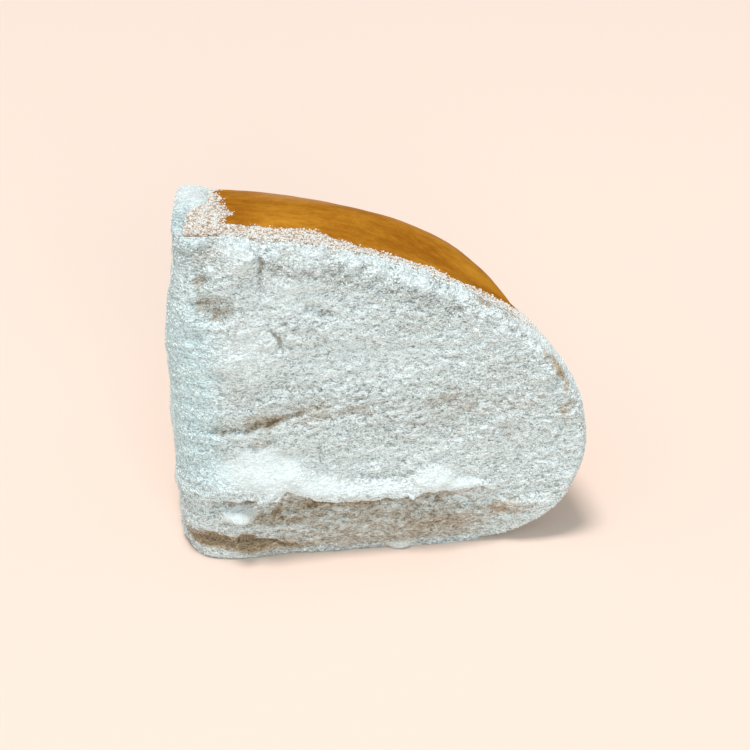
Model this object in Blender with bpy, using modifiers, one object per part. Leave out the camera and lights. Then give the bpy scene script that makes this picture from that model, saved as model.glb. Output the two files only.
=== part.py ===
"""Cream cheese bun: a quarter of a round milk loaf, with cream cheese spread on both cut faces.

The loaf's axis stands at the quarter's sharp edge. The front cut face looks along -Y and the left
cut face along -X, and the cream runs round the edge between them. On each cut face a place is given
as (run, height): how far it is from the loaf's axis, and how far it is above the base.
"""

from math import atan2, cos, degrees, exp, hypot, pi, radians, sin, sqrt

import bmesh
import bpy
import numpy as np
from mathutils import Vector, noise

MM = 0.001

# The loaf
LOAF_RADIUS = 80 * MM
LOAF_HEIGHT = 73 * MM
WIDEST_HEIGHT = 21.6 * MM  # where the side is widest
BASE_RADIUS = 58.4 * MM  # the flat underside of the whole loaf
DOME_RUN_POWER = 1.65  # the dome is a superellipse
DOME_RISE_POWER = 2.29
FOOT_POWER = 1.85  # the curve from the side to the underside
CRUST_SWELL = 0.45 * MM  # how uneven the crust is
CRUST_WAVE = 34 * MM
CRUST_OCTAVES = 2
FLAT_FOOT = 8 * MM  # the crust is even below this height, so that the base lies flat
BASE_TRIM = 1 * MM  # cut off the turned loaf's underside
CUT_EDGE_RADIUS = 3 * MM  # the quarter's sharp edge, as the knife and the cream leave it
LOAF_STEPS = 132
DOME_POINTS = 20
FOOT_POINTS = 9
RIM_DOME_POINTS = 900  # the rim that the cream's thickness is eased toward, finely divided
RIM_FOOT_POINTS = 400
LEAST_RUN = 0.1 * MM  # nearer to the axis, the crust is left as it is

# The cream
GAP = 0.3 * MM  # between the cream's solid and the bread's
CREAM_THICKNESS = 4.5 * MM  # on the front cut face
LEFT_CREAM_THICKNESS = 4.1 * MM
MOST_THICKNESS = 12 * MM
FACE_BLEND = 6 * MM  # how far round the sharp edge one face's relief fades into the other's
EDGE_THICKNESS = 1.0 * MM  # at the crust
EDGE_RISE = 0.5 * MM  # how far the cream stands over the crust there
FRONT_ROUNDING = 3.6 * MM  # how far from the crust the cream thins
LEFT_TOP_ROUNDING = 18 * MM  # the same on the left, near the top
LEFT_TOP = (40 * MM, 62 * MM)  # between these heights that rounding grows
FOOT_THINNING = 0.32  # how much thinner the front cream is at the base
FOOT_HEIGHT = 7 * MM
CORNER_THINNING = 0.16  # how much thinner the cream is round the sharp edge
CORNER_REACH = 9 * MM
RIM_TOP_RADIUS = 64 * MM  # where the grid's rim side ends and its top side starts
CREAM_FOOT = 0.4 * MM  # the cream ends just above the surface that the bread rests on
CREAM_SWELL = 0.5 * MM
CREAM_WAVE = 13 * MM
CREAM_OCTAVES = 3
LEDGE_CREST = 0.42  # where a ledge starts to curve back, as a share of the way up from its lip
LEDGE_SAG = 0.25  # how far a ledge hangs, as a share of how far it stands out
LIP_DROP = 0.8 * MM
FACE_COLUMNS = 34
CORNER_COLUMNS = 5
ROWS = 44

# Where the round is pressed in or bulges: (degrees from the front cut face, half width, share)
SQUEEZES = [(16, 10, -0.032), (35, 11, 0.020), (68, 24, -0.015)]

# How far the cream may stand out on the left face, by height: (height at the sharp edge, limit).
# The line of one limit runs down by LIMIT_FALL and out by LIMIT_SPREAD of the run from there.
LEFT_LIMIT = [
    (0, 2.4),
    (2.5, 3.3),
    (5, 4.3),
    (9, 4.7),
    (15, 4.7),
    (25, 4.4),
    (31, 4.4),
    (38, 4.0),
    (44, 4.1),
    (51, 4.2),
    (54.5, 4.0),
    (57.5, 3.4),
    (61, 2.9),
    (64.5, 2.3),
    (67.5, 1.6),
    (74, 0.9),
]
LIMIT_FALL = 0.57
LIMIT_SPREAD = 0.05
LIMIT_EASE = 0.8 * MM
LIMIT_MARGIN = 0.5 * MM  # left under the limit for the relief, away from the sharp edge

# Rolled ledges of cream: (run, height of the lower lip, height where it fades, how far it stands out)
FRONT_LEDGE = [
    (0, 14.2, 22.5, 0.9),
    (5, 16.4, 25.4, 2.5),
    (10, 16.8, 26.8, 3.4),
    (14, 16.9, 26.6, 3.3),
    (18, 18.4, 25.0, 2.9),
    (25, 14.9, 20.6, 2.3),
    (32, 14.3, 18.6, 2.1),
    (41, 14.6, 18.6, 2.1),
    (48, 15.8, 21.0, 2.5),
    (56, 14.9, 17.0, 1.1),
    (63, 13.6, 15.4, 0.0),
]
LEFT_LEDGE = [
    (0, 14.2, 22.5, 0.3),
    (12, 16.2, 25.8, 1.3),
    (26, 19.8, 28.6, 1.9),
    (40, 18.6, 26.0, 1.9),
    (54, 22.4, 30.4, 2.2),
    (66, 25.0, 30.0, 0.0),
]
LEFT_UPPER_LEDGE = [
    (10, 50.5, 56.0, 0.0),
    (22, 49.0, 57.0, 1.5),
    (38, 45.5, 53.5, 1.8),
    (52, 41.0, 47.0, 0.9),
    (60, 39.0, 44.0, 0.0),
]

# Furrows that a knife left: (run, height, depth)
FRONT_FURROW = [
    (1, 31.9, 0.0),
    (4, 31.6, 1.2),
    (8, 31.7, 1.4),
    (13, 32.8, 1.5),
    (18, 34.8, 1.0),
    (34, 35.0, 0.0),
]
LEFT_FURROW = [(4, 34.0, 0.0), (14, 36.4, 1.1), (30, 35.0, 1.3), (46, 37.0, 0.9), (58, 36.0, 0.0)]
FURROW_SIDES = (1.4 * MM, 4.0 * MM)  # how wide its lower and its upper side are
UNDER_LEDGE = 1.0 * MM  # how deep the hollow under a ledge is
UNDER_REACH = (2.6 * MM, 8 * MM)  # how far below the lip it is deepest, and where it ends

# Soft lumps and hollows: (run, height, half width, half height, how far it stands out)
FRONT_LUMPS = [
    (7.2, 12.0, 4.2, 2.7, 2.7),  # the small lobe under the ledge
    (0.5, 6.4, 6.5, 2.8, -1.3),  # the hollow at the foot of the edge
    (10.5, 49.0, 8.5, 11.5, 1.1),  # the smooth swelling beside the edge
    (9.5, 69.5, 6.6, 6.0, 1.6),  # the flap of cream at the top
    (7.0, 59.6, 5.2, 2.9, -2.0),  # the hollow under that flap
    (26.0, 58.6, 3.0, 2.6, -1.0),  # the pit
    (22.5, 64.5, 6.0, 3.6, 0.5),
    (67.0, 9.6, 7.0, 2.2, 0.8),  # the last of the ledge
    (41.0, 1.2, 4.0, 2.0, 1.2),  # the drip at the base
    (11.0, 2.4, 9.0, 2.2, 0.9),  # the lip at the base
]
LEFT_LUMPS = [
    (12.0, 62.0, 9.0, 5.5, 0.9),
    (34.0, 61.0, 8.0, 3.0, -0.9),
    (20.0, 42.0, 9.0, 4.0, 0.8),
    (52.0, 50.0, 7.0, 4.5, 0.8),
    (18.0, 8.5, 6.5, 2.6, 1.9),
    (44.0, 10.0, 9.0, 2.4, 1.2),
    (62.0, 15.0, 5.0, 3.0, 0.9),
    (68.0, 38.0, 5.0, 5.0, -0.8),
]

BREAD_COLOUR = (0.50, 0.20, 0.035, 1.0)
CREAM_COLOUR = (0.80, 0.79, 0.75, 1.0)


def clear_scene():
    for obj in list(bpy.data.objects):
        bpy.data.objects.remove(obj)


def new_collection(name):
    made = bpy.data.collections.new(name)
    bpy.context.scene.collection.children.link(made)
    return made


def material(name, colour, roughness):
    made = bpy.data.materials.new(name)
    made.use_nodes = True
    shader = made.node_tree.nodes["Principled BSDF"]
    shader.inputs["Base Color"].default_value = colour
    shader.inputs["Roughness"].default_value = roughness
    shader.inputs["Metallic"].default_value = 0.0
    return made


def add_object(name, mesh, collection):
    made = bpy.data.objects.new(name, mesh)
    collection.objects.link(made)
    return made


def apply_modifiers(obj):
    """Replaces the object's mesh with the one its modifiers make."""
    graph = bpy.context.evaluated_depsgraph_get()
    made = bpy.data.meshes.new_from_object(obj.evaluated_get(graph))
    obj.modifiers.clear()
    obj.data = made


def smooth_step(low, high, value):
    share = min(max((value - low) / (high - low), 0.0), 1.0)
    return share * share * (3 - 2 * share)


# The loaf's profile


def dome_height(run):
    """Height of the crust above the widest line."""
    share = min(run / LOAF_RADIUS, 1.0)
    rise = LOAF_HEIGHT - WIDEST_HEIGHT
    return WIDEST_HEIGHT + rise * (1 - share**DOME_RUN_POWER) ** (1 / DOME_RISE_POWER)


def foot_height(run, bottom=0.0):
    """Height of the crust below the widest line, where the side curves under to a flat at bottom."""
    share = min(max(run - BASE_RADIUS, 0) / (LOAF_RADIUS - BASE_RADIUS), 1.0)
    fall = 1 - (1 - share**FOOT_POWER) ** (1 / FOOT_POWER)
    return bottom + (WIDEST_HEIGHT - bottom) * fall


def crust_outward(run, height):
    """The crust's outward direction in the plane of a cut face, as (run, height)."""
    if height < WIDEST_HEIGHT:
        depth = LOAF_RADIUS - BASE_RADIUS
        across = max((run - BASE_RADIUS) / depth, 0.0) ** (FOOT_POWER - 1) / depth
        rise = -max(1 - height / WIDEST_HEIGHT, 0.0) ** (FOOT_POWER - 1) / WIDEST_HEIGHT
    else:
        depth = LOAF_HEIGHT - WIDEST_HEIGHT
        share = min((height - WIDEST_HEIGHT) / depth, 1.0)
        across = DOME_RUN_POWER * min(run / LOAF_RADIUS, 1.0) ** (DOME_RUN_POWER - 1) / LOAF_RADIUS
        rise = DOME_RISE_POWER * share ** (DOME_RISE_POWER - 1) / depth
    return Vector((across, rise)).normalized()


def dome_points(count, run_from=0.0):
    """Points of the dome from run_from out to the widest line, closer together as it steepens."""
    first = np.arcsin(run_from / LOAF_RADIUS)
    runs = [LOAF_RADIUS * sin(first + (pi / 2 - first) * k / count) for k in range(count + 1)]
    return [(run, dome_height(run)) for run in runs]


def foot_points(count, bottom=0.0):
    """Points from the widest line down to the edge of the flat underside."""
    depth = LOAF_RADIUS - BASE_RADIUS
    runs = [BASE_RADIUS + depth * cos(pi / 2 * k / count) for k in range(count + 1)]
    return [(run, foot_height(run, bottom)) for run in runs]


# The bread


def quarter_cutter(collection):
    """A block with one rounded upright edge, which keeps one quarter of the loaf and flattens its base."""
    side = 2 * LOAF_RADIUS
    mesh = bpy.data.meshes.new("quarter_cutter")
    shape = bmesh.new()
    bmesh.ops.create_cube(shape, size=side)
    bmesh.ops.translate(shape, verts=shape.verts, vec=Vector((side / 2, side / 2, side / 2)))
    upright = [
        edge
        for edge in shape.edges
        if all(abs(vert.co.x) < GAP and abs(vert.co.y) < GAP for vert in edge.verts)
    ]
    bmesh.ops.bevel(
        shape, geom=upright, offset=CUT_EDGE_RADIUS, segments=4, profile=0.5, affect="EDGES"
    )
    shape.to_mesh(mesh)
    shape.free()
    cutter = add_object("quarter_cutter", mesh, collection)
    cutter.hide_render = True
    cutter.display_type = "WIRE"
    return cutter


def squeeze(angle):
    """The run at this angle from the front cut face, as a share of the round loaf's."""
    return 1 + sum(share * exp(-(((angle - centre) / width) ** 2)) for centre, width, share in SQUEEZES)


def shape_crust(shape):
    """Squeezes the turned loaf and makes its crust uneven."""
    for vert in shape.verts:
        run = hypot(vert.co.x, vert.co.y)
        if run < LEAST_RUN:
            continue
        height = vert.co.z
        share = squeeze(degrees(atan2(vert.co.y, vert.co.x)))
        axis = Vector((vert.co.x, vert.co.y, 0.0)) / run
        place = axis * run * share + Vector((0.0, 0.0, height))
        swell = CRUST_SWELL * noise.fractal(place / CRUST_WAVE, 1.0, 2.0, CRUST_OCTAVES)
        across, rise = crust_outward(run, height) * swell * smooth_step(0.0, FLAT_FOOT, height)
        vert.co = place + axis * across + Vector((0.0, 0.0, rise))


def build_bread(collection, cutters):
    """The loaf is turned from its profile, its crust is shaped, and it is cut to a quarter."""
    outline = dome_points(DOME_POINTS) + foot_points(FOOT_POINTS, -BASE_TRIM)[1:] + [(0.0, -BASE_TRIM)]
    mesh = bpy.data.meshes.new("bread")
    mesh.from_pydata(
        [(run, 0, height) for run, height in outline],
        [(k, k + 1) for k in range(len(outline) - 1)],
        [],
    )
    bread = add_object("bread", mesh, collection)
    turn = bread.modifiers.new("turn", "SCREW")
    turn.axis = "Z"
    turn.angle = radians(360)
    turn.steps = turn.render_steps = LOAF_STEPS
    turn.use_merge_vertices = True
    turn.merge_threshold = 0.01 * MM
    turn.use_smooth_shade = True
    apply_modifiers(bread)
    shape = bmesh.new()
    shape.from_mesh(bread.data)
    shape_crust(shape)
    shape.to_mesh(bread.data)
    shape.free()
    cut = bread.modifiers.new("quarter", "BOOLEAN")
    cut.operation = "INTERSECT"
    cut.solver = "EXACT"
    cut.object = quarter_cutter(cutters)
    apply_modifiers(bread)
    bread.data.materials.clear()
    bread.data.materials.append(material("baked_bread", BREAD_COLOUR, 0.45))
    return bread


# The cream's relief


def along(path, run):
    """The values of a path's rows at this run, eased from row to row. None off the path's ends."""
    if not path[0][0] * MM <= run <= path[-1][0] * MM:
        return None
    for low, high in zip(path, path[1:]):
        if run <= high[0] * MM:
            share = smooth_step(low[0] * MM, high[0] * MM, run)
            return [(a + (b - a) * share) * MM for a, b in zip(low[1:], high[1:])]


def ledge(path, run, height):
    """A roll of cream with a round back and a sharp lip, and the hollow under it."""
    found = along(path, run)
    if found is None:
        return 0.0
    lip, top, proud = found
    lip -= LEDGE_SAG * proud
    share = (height - lip) / (top - lip)
    depth = min(proud / (2 * MM), 1.2)
    deepest, end = UNDER_REACH
    under = (1 - smooth_step(lip - deepest, lip, height)) * smooth_step(lip - end, lip - deepest, height)
    if share > LEDGE_CREST:
        back = min((share - LEDGE_CREST) / (1 - LEDGE_CREST), 1.0)
        roll = proud * (1 - back**2) ** 0.9
    else:
        roll = proud * smooth_step(lip - LIP_DROP, lip, height)
    return roll - UNDER_LEDGE * depth * under


def furrow(path, run, height):
    """A groove with a sharp lower side, which catches the light, and a long upper one."""
    found = along(path, run)
    if found is None:
        return 0.0
    line, depth = found
    lower, upper = FURROW_SIDES
    below = smooth_step(line - lower, line, height)
    above = 1 - smooth_step(line, line + upper, height)
    return -depth * (below if height < line else above)


def lump(spec, run, height):
    centre_run, centre_height, half_width, half_height, proud = (value * MM for value in spec)
    far = ((run - centre_run) / half_width) ** 2 + ((height - centre_height) / half_height) ** 2
    return proud * max(1 - far, 0.0) ** 1.5 if far < 1 else 0.0


def front_relief(run, height):
    stands_out = ledge(FRONT_LEDGE, run, height) + furrow(FRONT_FURROW, run, height)
    return stands_out + sum(lump(spec, run, height) for spec in FRONT_LUMPS)


def left_relief(run, height):
    stands_out = ledge(LEFT_LEDGE, run, height) + furrow(LEFT_FURROW, run, height)
    stands_out += ledge(LEFT_UPPER_LEDGE, run, height)
    return stands_out + sum(lump(spec, run, height) for spec in LEFT_LUMPS)


def left_limit(run, height):
    heights, limits = zip(*LEFT_LIMIT)
    edge_height = (height + LIMIT_FALL * run) / MM
    return np.interp(edge_height, heights, limits) * MM + LIMIT_SPREAD * run


def no_more(value, limit, ease):
    """The value, eased so that it stays below its limit."""
    return (value + limit - sqrt((value - limit) ** 2 + ease**2)) / 2


def cream_thickness(place, along_path, to_edge):
    """The cream's thickness at a place of its inner side. along_path is the run, counted negative on
    the left face, and to_edge is the distance to the crust."""
    run, height = abs(along_path), place.z
    front = smooth_step(-FACE_BLEND, FACE_BLEND, along_path)
    limit = left_limit(max(-along_path, 0.0), height)
    margin = LIMIT_MARGIN * smooth_step(4 * MM, 15 * MM, run)
    left_body = min(limit - margin, LEFT_CREAM_THICKNESS + LIMIT_MARGIN)
    left = no_more(left_body + left_relief(run, height), limit, LIMIT_EASE)
    thickness = (CREAM_THICKNESS + front_relief(run, height)) * front + left * (1 - front)
    thickness += CREAM_SWELL * noise.fractal(place / CREAM_WAVE, 1.0, 2.0, CREAM_OCTAVES)
    thickness *= 1 - FOOT_THINNING * front * (1 - smooth_step(0.0, FOOT_HEIGHT, height))
    thickness *= 1 - CORNER_THINNING * (1 - smooth_step(0.0, CORNER_REACH, run)) ** 2
    on_left = min(2 - front - smooth_step(2 * MM, 14 * MM, run), 1.0)
    long_slope = on_left * smooth_step(*LEFT_TOP, height)
    rounding = FRONT_ROUNDING + (LEFT_TOP_ROUNDING - FRONT_ROUNDING) * long_slope
    near_crust = 1 - min(to_edge / rounding, 1.0)
    shoulder = (1 - near_crust ** (2 - 0.7 * long_slope)) ** (0.5 + 0.5 * long_slope)
    return EDGE_THICKNESS + max(thickness - EDGE_THICKNESS, 0.0) * shoulder


# The cream's solid


def evenly(points, count):
    """The same line with count + 1 points an equal way apart."""
    points = np.array(points)
    lengths = np.r_[0, np.cumsum(np.linalg.norm(np.diff(points, axis=0), axis=1))]
    wanted = np.linspace(0, lengths[-1], count + 1)
    return np.stack([np.interp(wanted, lengths, points[:, k]) for k in (0, 1)], axis=1)


def over_crust(points):
    """The same line, moved out from the crust by how far the cream stands over it."""
    return [Vector(point) + EDGE_RISE * crust_outward(*point) for point in points]


def face_grid():
    """A grid of (run, height) over one cut face, by blending its four sides. Row 0 is at the base,
    and column 0 is beside the sharp edge."""
    start = CUT_EDGE_RADIUS
    top_runs = np.linspace(start, RIM_TOP_RADIUS, FACE_COLUMNS + 1)
    top = np.array(over_crust([(run, dome_height(run)) for run in top_runs]))
    top[0, 0] = start
    bottom = evenly([(start, CREAM_FOOT), (BASE_RADIUS, CREAM_FOOT)], FACE_COLUMNS)
    near = evenly([(start, CREAM_FOOT), top[0]], ROWS)
    foot = [(run, max(height, CREAM_FOOT)) for run, height in over_crust(foot_points(60)[::-1])]
    dome = over_crust([point for point in dome_points(120) if point[0] >= RIM_TOP_RADIUS][::-1])
    rim = evenly([bottom[-1]] + foot[1:] + [tuple(point) for point in dome] + [top[-1]], ROWS)
    grid = np.zeros((ROWS + 1, FACE_COLUMNS + 1, 2))
    for row in range(ROWS + 1):
        v = row / ROWS
        for column in range(FACE_COLUMNS + 1):
            u = column / FACE_COLUMNS
            sides = (1 - v) * bottom[column] + v * top[column] + (1 - u) * near[row] + u * rim[row]
            corners = (1 - u) * ((1 - v) * bottom[0] + v * top[0])
            corners = corners + u * ((1 - v) * bottom[-1] + v * top[-1])
            grid[row, column] = sides - corners
    return grid


def crust_line():
    """The outline of a cut face, without its base."""
    outline = dome_points(RIM_DOME_POINTS) + foot_points(RIM_FOOT_POINTS)[1:]
    return np.array(over_crust(outline))


def cream_sheet(mesh):
    """The cream's inner side as one sheet, from the left rim round the sharp edge to the front rim.
    Returns each vertex's (run along the path, height)."""
    face = face_grid()
    bend = CUT_EDGE_RADIUS + GAP
    places, points = [], []
    for row in range(ROWS + 1):
        flat = [(column[0], column[1]) for column in face[row]]
        height = flat[0][1]
        for run, rise in flat[:0:-1]:
            places.append((-run, rise))
            points.append((-GAP, run * squeeze(90), rise))
        for k in range(CORNER_COLUMNS + 1):
            turn = k / CORNER_COLUMNS
            angle = pi + turn * pi / 2
            places.append(((2 * turn - 1) * CUT_EDGE_RADIUS, height))
            centre = CUT_EDGE_RADIUS
            points.append((centre + bend * cos(angle), centre + bend * sin(angle), height))
        for run, rise in flat[1:]:
            places.append((run, rise))
            points.append((run * squeeze(0), -GAP, rise))
    columns = len(points) // (ROWS + 1)
    faces = [
        (a, a + 1, a + columns + 1, a + columns)
        for row in range(ROWS)
        for a in range(row * columns, row * columns + columns - 1)
    ]
    mesh.from_pydata(points, [], faces)
    return places


def build_cream(collection):
    """The sheet gets its relief as a thickness, and its flat inner side is merged to few faces."""
    mesh = bpy.data.meshes.new("cream_coat")
    paths = cream_sheet(mesh)
    cream = add_object("cream_coat", mesh, collection)
    outline = crust_line()
    weights = cream.vertex_groups.new(name="thickness")
    for index, (along_path, height) in enumerate(paths):
        to_edge = np.linalg.norm(outline - (abs(along_path), height), axis=1).min()
        thickness = cream_thickness(mesh.vertices[index].co, along_path, to_edge)
        weights.add([index], thickness / MOST_THICKNESS, "REPLACE")
    shell = cream.modifiers.new("thickness", "SOLIDIFY")
    shell.thickness = MOST_THICKNESS
    shell.offset = 1.0
    shell.vertex_group = weights.name
    apply_modifiers(cream)
    merge_inner_side(cream.data)
    cream.data.shade_smooth()
    cream.data.materials.clear()
    cream.data.materials.append(material("powdered_cream", CREAM_COLOUR, 0.95))
    return cream


def merge_inner_side(mesh):
    """Merges the flat faces against the bread, which nothing sees."""
    shape = bmesh.new()
    shape.from_mesh(mesh)
    near = 0.01 * MM
    inner = [
        vert
        for vert in shape.verts
        if (abs(vert.co.y + GAP) < near or abs(vert.co.x + GAP) < near)
        and all(face.normal.x > 0.9 or face.normal.y > 0.9 for face in vert.link_faces)
    ]
    bmesh.ops.dissolve_verts(shape, verts=inner)
    bmesh.ops.triangulate(shape, faces=[face for face in shape.faces if len(face.verts) > 4])
    shape.to_mesh(mesh)
    shape.free()


def centre_on_base(parts):
    """Moves the parts so that the origin is at the middle of their box, on the base."""
    corners = np.array([vert.co for part in parts for vert in part.data.vertices])
    low, high = corners.min(axis=0), corners.max(axis=0)
    middle = (low + high) / 2
    for part in parts:
        for vert in part.data.vertices:
            vert.co -= Vector((middle[0], middle[1], low[2]))


def main():
    clear_scene()
    parts = new_collection("cream_cheese_bun")
    cutters = new_collection("cutters")
    bread = build_bread(parts, cutters)
    cream = build_cream(parts)
    centre_on_base([bread, cream])


main()
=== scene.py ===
from math import pi, radians

import bmesh
import bpy
import numpy as np
from bpy.props import FloatProperty, FloatVectorProperty, IntProperty, PointerProperty
from mathutils import Matrix, Vector, noise


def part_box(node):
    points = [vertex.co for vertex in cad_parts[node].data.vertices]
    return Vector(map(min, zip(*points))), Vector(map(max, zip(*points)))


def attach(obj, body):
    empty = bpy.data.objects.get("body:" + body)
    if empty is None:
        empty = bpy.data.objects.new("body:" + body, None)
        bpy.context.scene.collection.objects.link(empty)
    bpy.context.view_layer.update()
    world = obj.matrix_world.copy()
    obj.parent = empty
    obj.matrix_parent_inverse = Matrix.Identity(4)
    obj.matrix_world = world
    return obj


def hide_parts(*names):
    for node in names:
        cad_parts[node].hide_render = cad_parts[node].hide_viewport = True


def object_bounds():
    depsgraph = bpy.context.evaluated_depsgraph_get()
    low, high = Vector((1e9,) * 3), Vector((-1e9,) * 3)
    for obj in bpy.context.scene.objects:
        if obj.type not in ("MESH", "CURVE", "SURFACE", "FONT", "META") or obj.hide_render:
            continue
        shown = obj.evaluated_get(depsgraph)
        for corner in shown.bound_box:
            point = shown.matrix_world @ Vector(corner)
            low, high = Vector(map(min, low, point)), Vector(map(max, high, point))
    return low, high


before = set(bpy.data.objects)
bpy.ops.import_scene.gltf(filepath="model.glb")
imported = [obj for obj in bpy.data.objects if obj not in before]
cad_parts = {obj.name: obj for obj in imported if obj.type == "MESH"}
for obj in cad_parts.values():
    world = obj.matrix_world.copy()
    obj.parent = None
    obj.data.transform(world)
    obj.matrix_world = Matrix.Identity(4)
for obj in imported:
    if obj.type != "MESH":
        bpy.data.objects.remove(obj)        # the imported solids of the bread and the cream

bl_info = {
    "name": "Cream Cheese Bun",
    "version": (1, 0, 0),
    "blender": (4, 5, 0),
    "location": "3D View > Sidebar > Cream Bun",
    "description": "A quarter of a milk loaf with cream cheese on both cut faces, dusted with milk powder",
    "category": "Add Mesh",
}

MM = 0.001
CAD_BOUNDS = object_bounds()
BREAD_LOW, BREAD_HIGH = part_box("bread")
LOAF_AXIS = np.array([BREAD_LOW.x, BREAD_LOW.y, 0.0])  # stands at the quarter's sharp edge

# Places on a cut face are (run, height): the distance from the loaf's axis and the height above the
# base. The path along both faces counts the run below zero on the left face and above it on the
# front one. Tables are in millimetres.

# Rolled ledges of cream: (run, height of the lower lip, height where it fades, how far it stands out)
FRONT_LEDGE = [
    (0, 14.2, 22.5, 0.9), (5, 16.4, 25.4, 1.7), (10, 16.8, 26.8, 2.5), (14, 16.9, 26.6, 3.1),
    (18, 18.4, 25.0, 2.9), (25, 14.9, 20.6, 2.3), (32, 14.3, 18.6, 2.1), (41, 14.6, 18.6, 2.1),
    (48, 15.8, 21.0, 2.5), (56, 14.9, 17.0, 1.1), (63, 13.6, 15.4, 0.0),
]
LEFT_LEDGE = [
    (0, 14.2, 22.5, 0.3), (12, 16.2, 25.8, 1.5), (26, 19.8, 28.6, 2.4), (40, 18.6, 26.0, 2.6),
    (54, 22.4, 30.4, 2.8), (68, 25.0, 30.0, 0.0),
]
LEFT_UPPER_LEDGE = [
    (10, 50.5, 56.0, 0.0), (22, 49.0, 57.0, 1.9), (38, 45.5, 53.5, 2.3), (52, 41.0, 47.0, 1.4),
    (60, 39.0, 44.0, 0.0),
]

# Furrows that the knife left: (run, height, depth)
FRONT_FURROWS = [
    [
        (1, 31.4, 0.0), (4, 31.1, 0.9), (8, 31.2, 0.8), (13, 32.0, 1.3), (18, 33.2, 1.0),
        (24, 35.4, 0.5), (32, 37.0, 0.0),
    ],
    [(9, 27.0, 0.0), (12, 27.1, 0.6), (15, 27.2, 0.6), (18, 27.8, 0.0)],
    [(9, 9.6, 0.0), (12, 10.4, 0.5), (18, 11.2, 0.7), (25, 12.3, 0.7), (33, 13.3, 0.5), (38, 13.8, 0.0)],
]
LEFT_FURROWS = [
    [(4, 34.0, 0.0), (14, 36.4, 1.1), (30, 35.0, 1.3), (46, 37.0, 0.9), (58, 36.0, 0.0)],
]

# Cracks with sharp sides: (run, height, depth)
FRONT_CRACKS = [
    [(54.8, 57.4, 0.0), (57, 55.8, 0.3), (61.5, 52.8, 0.4), (65.5, 49.6, 0.3), (68.5, 46.6, 0.0)],
    [(8, 5.2, 0.0), (10, 5.0, 0.5), (14, 4.4, 0.6), (17, 2.8, 0.5), (21, 0.8, 0.0)],
]
LEFT_CRACKS = [
    [(20, 29.5, 0.0), (26, 30.6, 0.6), (33, 30.0, 0.7), (40, 28.4, 0.0)],
]

# Seams up a face: (height, run, depth)
FRONT_SEAMS = [
    [(49, 2.2, 0.0), (54, 2.7, 0.3), (62, 3.0, 0.6), (69, 2.8, 0.5), (73.5, 2.4, 0.2)],
    [(60.5, 16.0, 0.0), (64, 15.2, 0.7), (69, 15.6, 0.8), (75, 15.2, 1.0)],
    [(48, 19.2, 0.0), (51, 18.2, 0.9), (56, 15.8, 0.3), (60, 14.6, 0.0)],
]
LEFT_SEAMS = [
    [(38, 47.0, 0.0), (44, 48.5, 0.4), (50, 47.5, 0.4), (54, 46.0, 0.0)],
]

# Soft lumps and hollows: (run, height, half width, half height, how far it stands out)
FRONT_LUMPS = [
    (6.6, 12.0, 4.2, 2.7, 2.6),  # the small lobe under the ledge
    (9.0, 11.5, 3.4, 2.5, 2.2),
    (12.6, 16.0, 1.1, 2.2, 1.5),  # two teeth on the ledge's lip
    (43.8, 14.2, 1.0, 2.0, 1.3),
    (1.0, 5.2, 5.5, 3.0, -2.0),  # the hollow at the foot of the edge
    (7.5, 4.8, 5.0, 1.7, -0.8),
    (11.0, 49.0, 8.0, 11.0, 1.3),  # the smooth swelling beside the edge
    (9.5, 69.5, 6.6, 6.0, 1.4),  # the flap of cream at the top
    (12.5, 71.0, 4.0, 5.0, 0.7),
    (5.6, 59.2, 5.0, 4.0, -2.5),  # the hollow under that flap
    (4.0, 64.8, 2.0, 1.7, -1.5), (5.0, 66.9, 2.2, 1.3, 0.7),
    (24.8, 58.1, 2.2, 1.5, -0.9),  # the pit
    (26.9, 56.8, 2.4, 1.3, -1.0), (22.5, 64.5, 6.0, 3.6, 0.5),
    (67.0, 9.6, 7.0, 2.2, 0.8),  # the last of the ledge
    (17.0, 8.0, 8.0, 1.8, 0.7),  # the layer below the ledge
    (41.0, 0.8, 3.6, 1.6, 2.2),  # the drip at the base
    (10.0, 1.6, 10.0, 2.4, 1.3),  # the lip at the base
]
LEFT_LUMPS = [
    (12.0, 62.0, 9.0, 5.5, 0.9), (34.0, 61.0, 8.0, 3.0, -0.9), (20.0, 42.0, 9.0, 4.0, 0.8),
    (52.0, 50.0, 7.0, 4.5, 0.8), (18.0, 8.5, 6.5, 2.6, 1.9), (44.0, 10.0, 9.0, 2.4, 1.2),
    (62.0, 15.0, 5.0, 3.0, 0.9), (68.0, 38.0, 5.0, 5.0, -0.8),
]

# Smooth white places, where the powder lies thick: (run, height, half width, half height, share)
FRONT_CALM = [
    (13.0, 23.0, 12.0, 5.5, 1.3), (25.0, 18.6, 9.0, 3.6, 0.9), (38.0, 16.8, 10.0, 2.8, 0.6),
    (49.0, 18.2, 6.0, 3.4, 0.9), (55.0, 16.6, 5.0, 1.8, 0.7), (7.8, 11.8, 4.2, 2.3, 2.0),
    (13.0, 50.0, 7.0, 9.5, 0.7), (11.5, 70.0, 4.8, 5.0, 0.6), (24.0, 69.5, 6.0, 3.0, 0.5),
    (6.0, 0.6, 9.0, 1.2, 0.5), (42.0, 22.5, 24.0, 4.0, 0.25), (20.0, 61.0, 9.0, 7.0, 0.40),
    (4.0, 47.0, 7.0, 14.0, 0.4), (41.0, 0.8, 4.0, 2.0, 1.3),
]
LEFT_CALM = [
    (14.0, 21.0, 10.0, 5.0, 0.9), (30.0, 24.0, 9.0, 4.0, 0.7), (54.0, 27.0, 8.0, 4.0, 0.8),
    (18.0, 9.0, 6.0, 2.6, 0.8), (30.0, 52.0, 12.0, 4.0, 0.7), (12.0, 62.0, 8.0, 5.0, 0.6),
]

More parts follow.
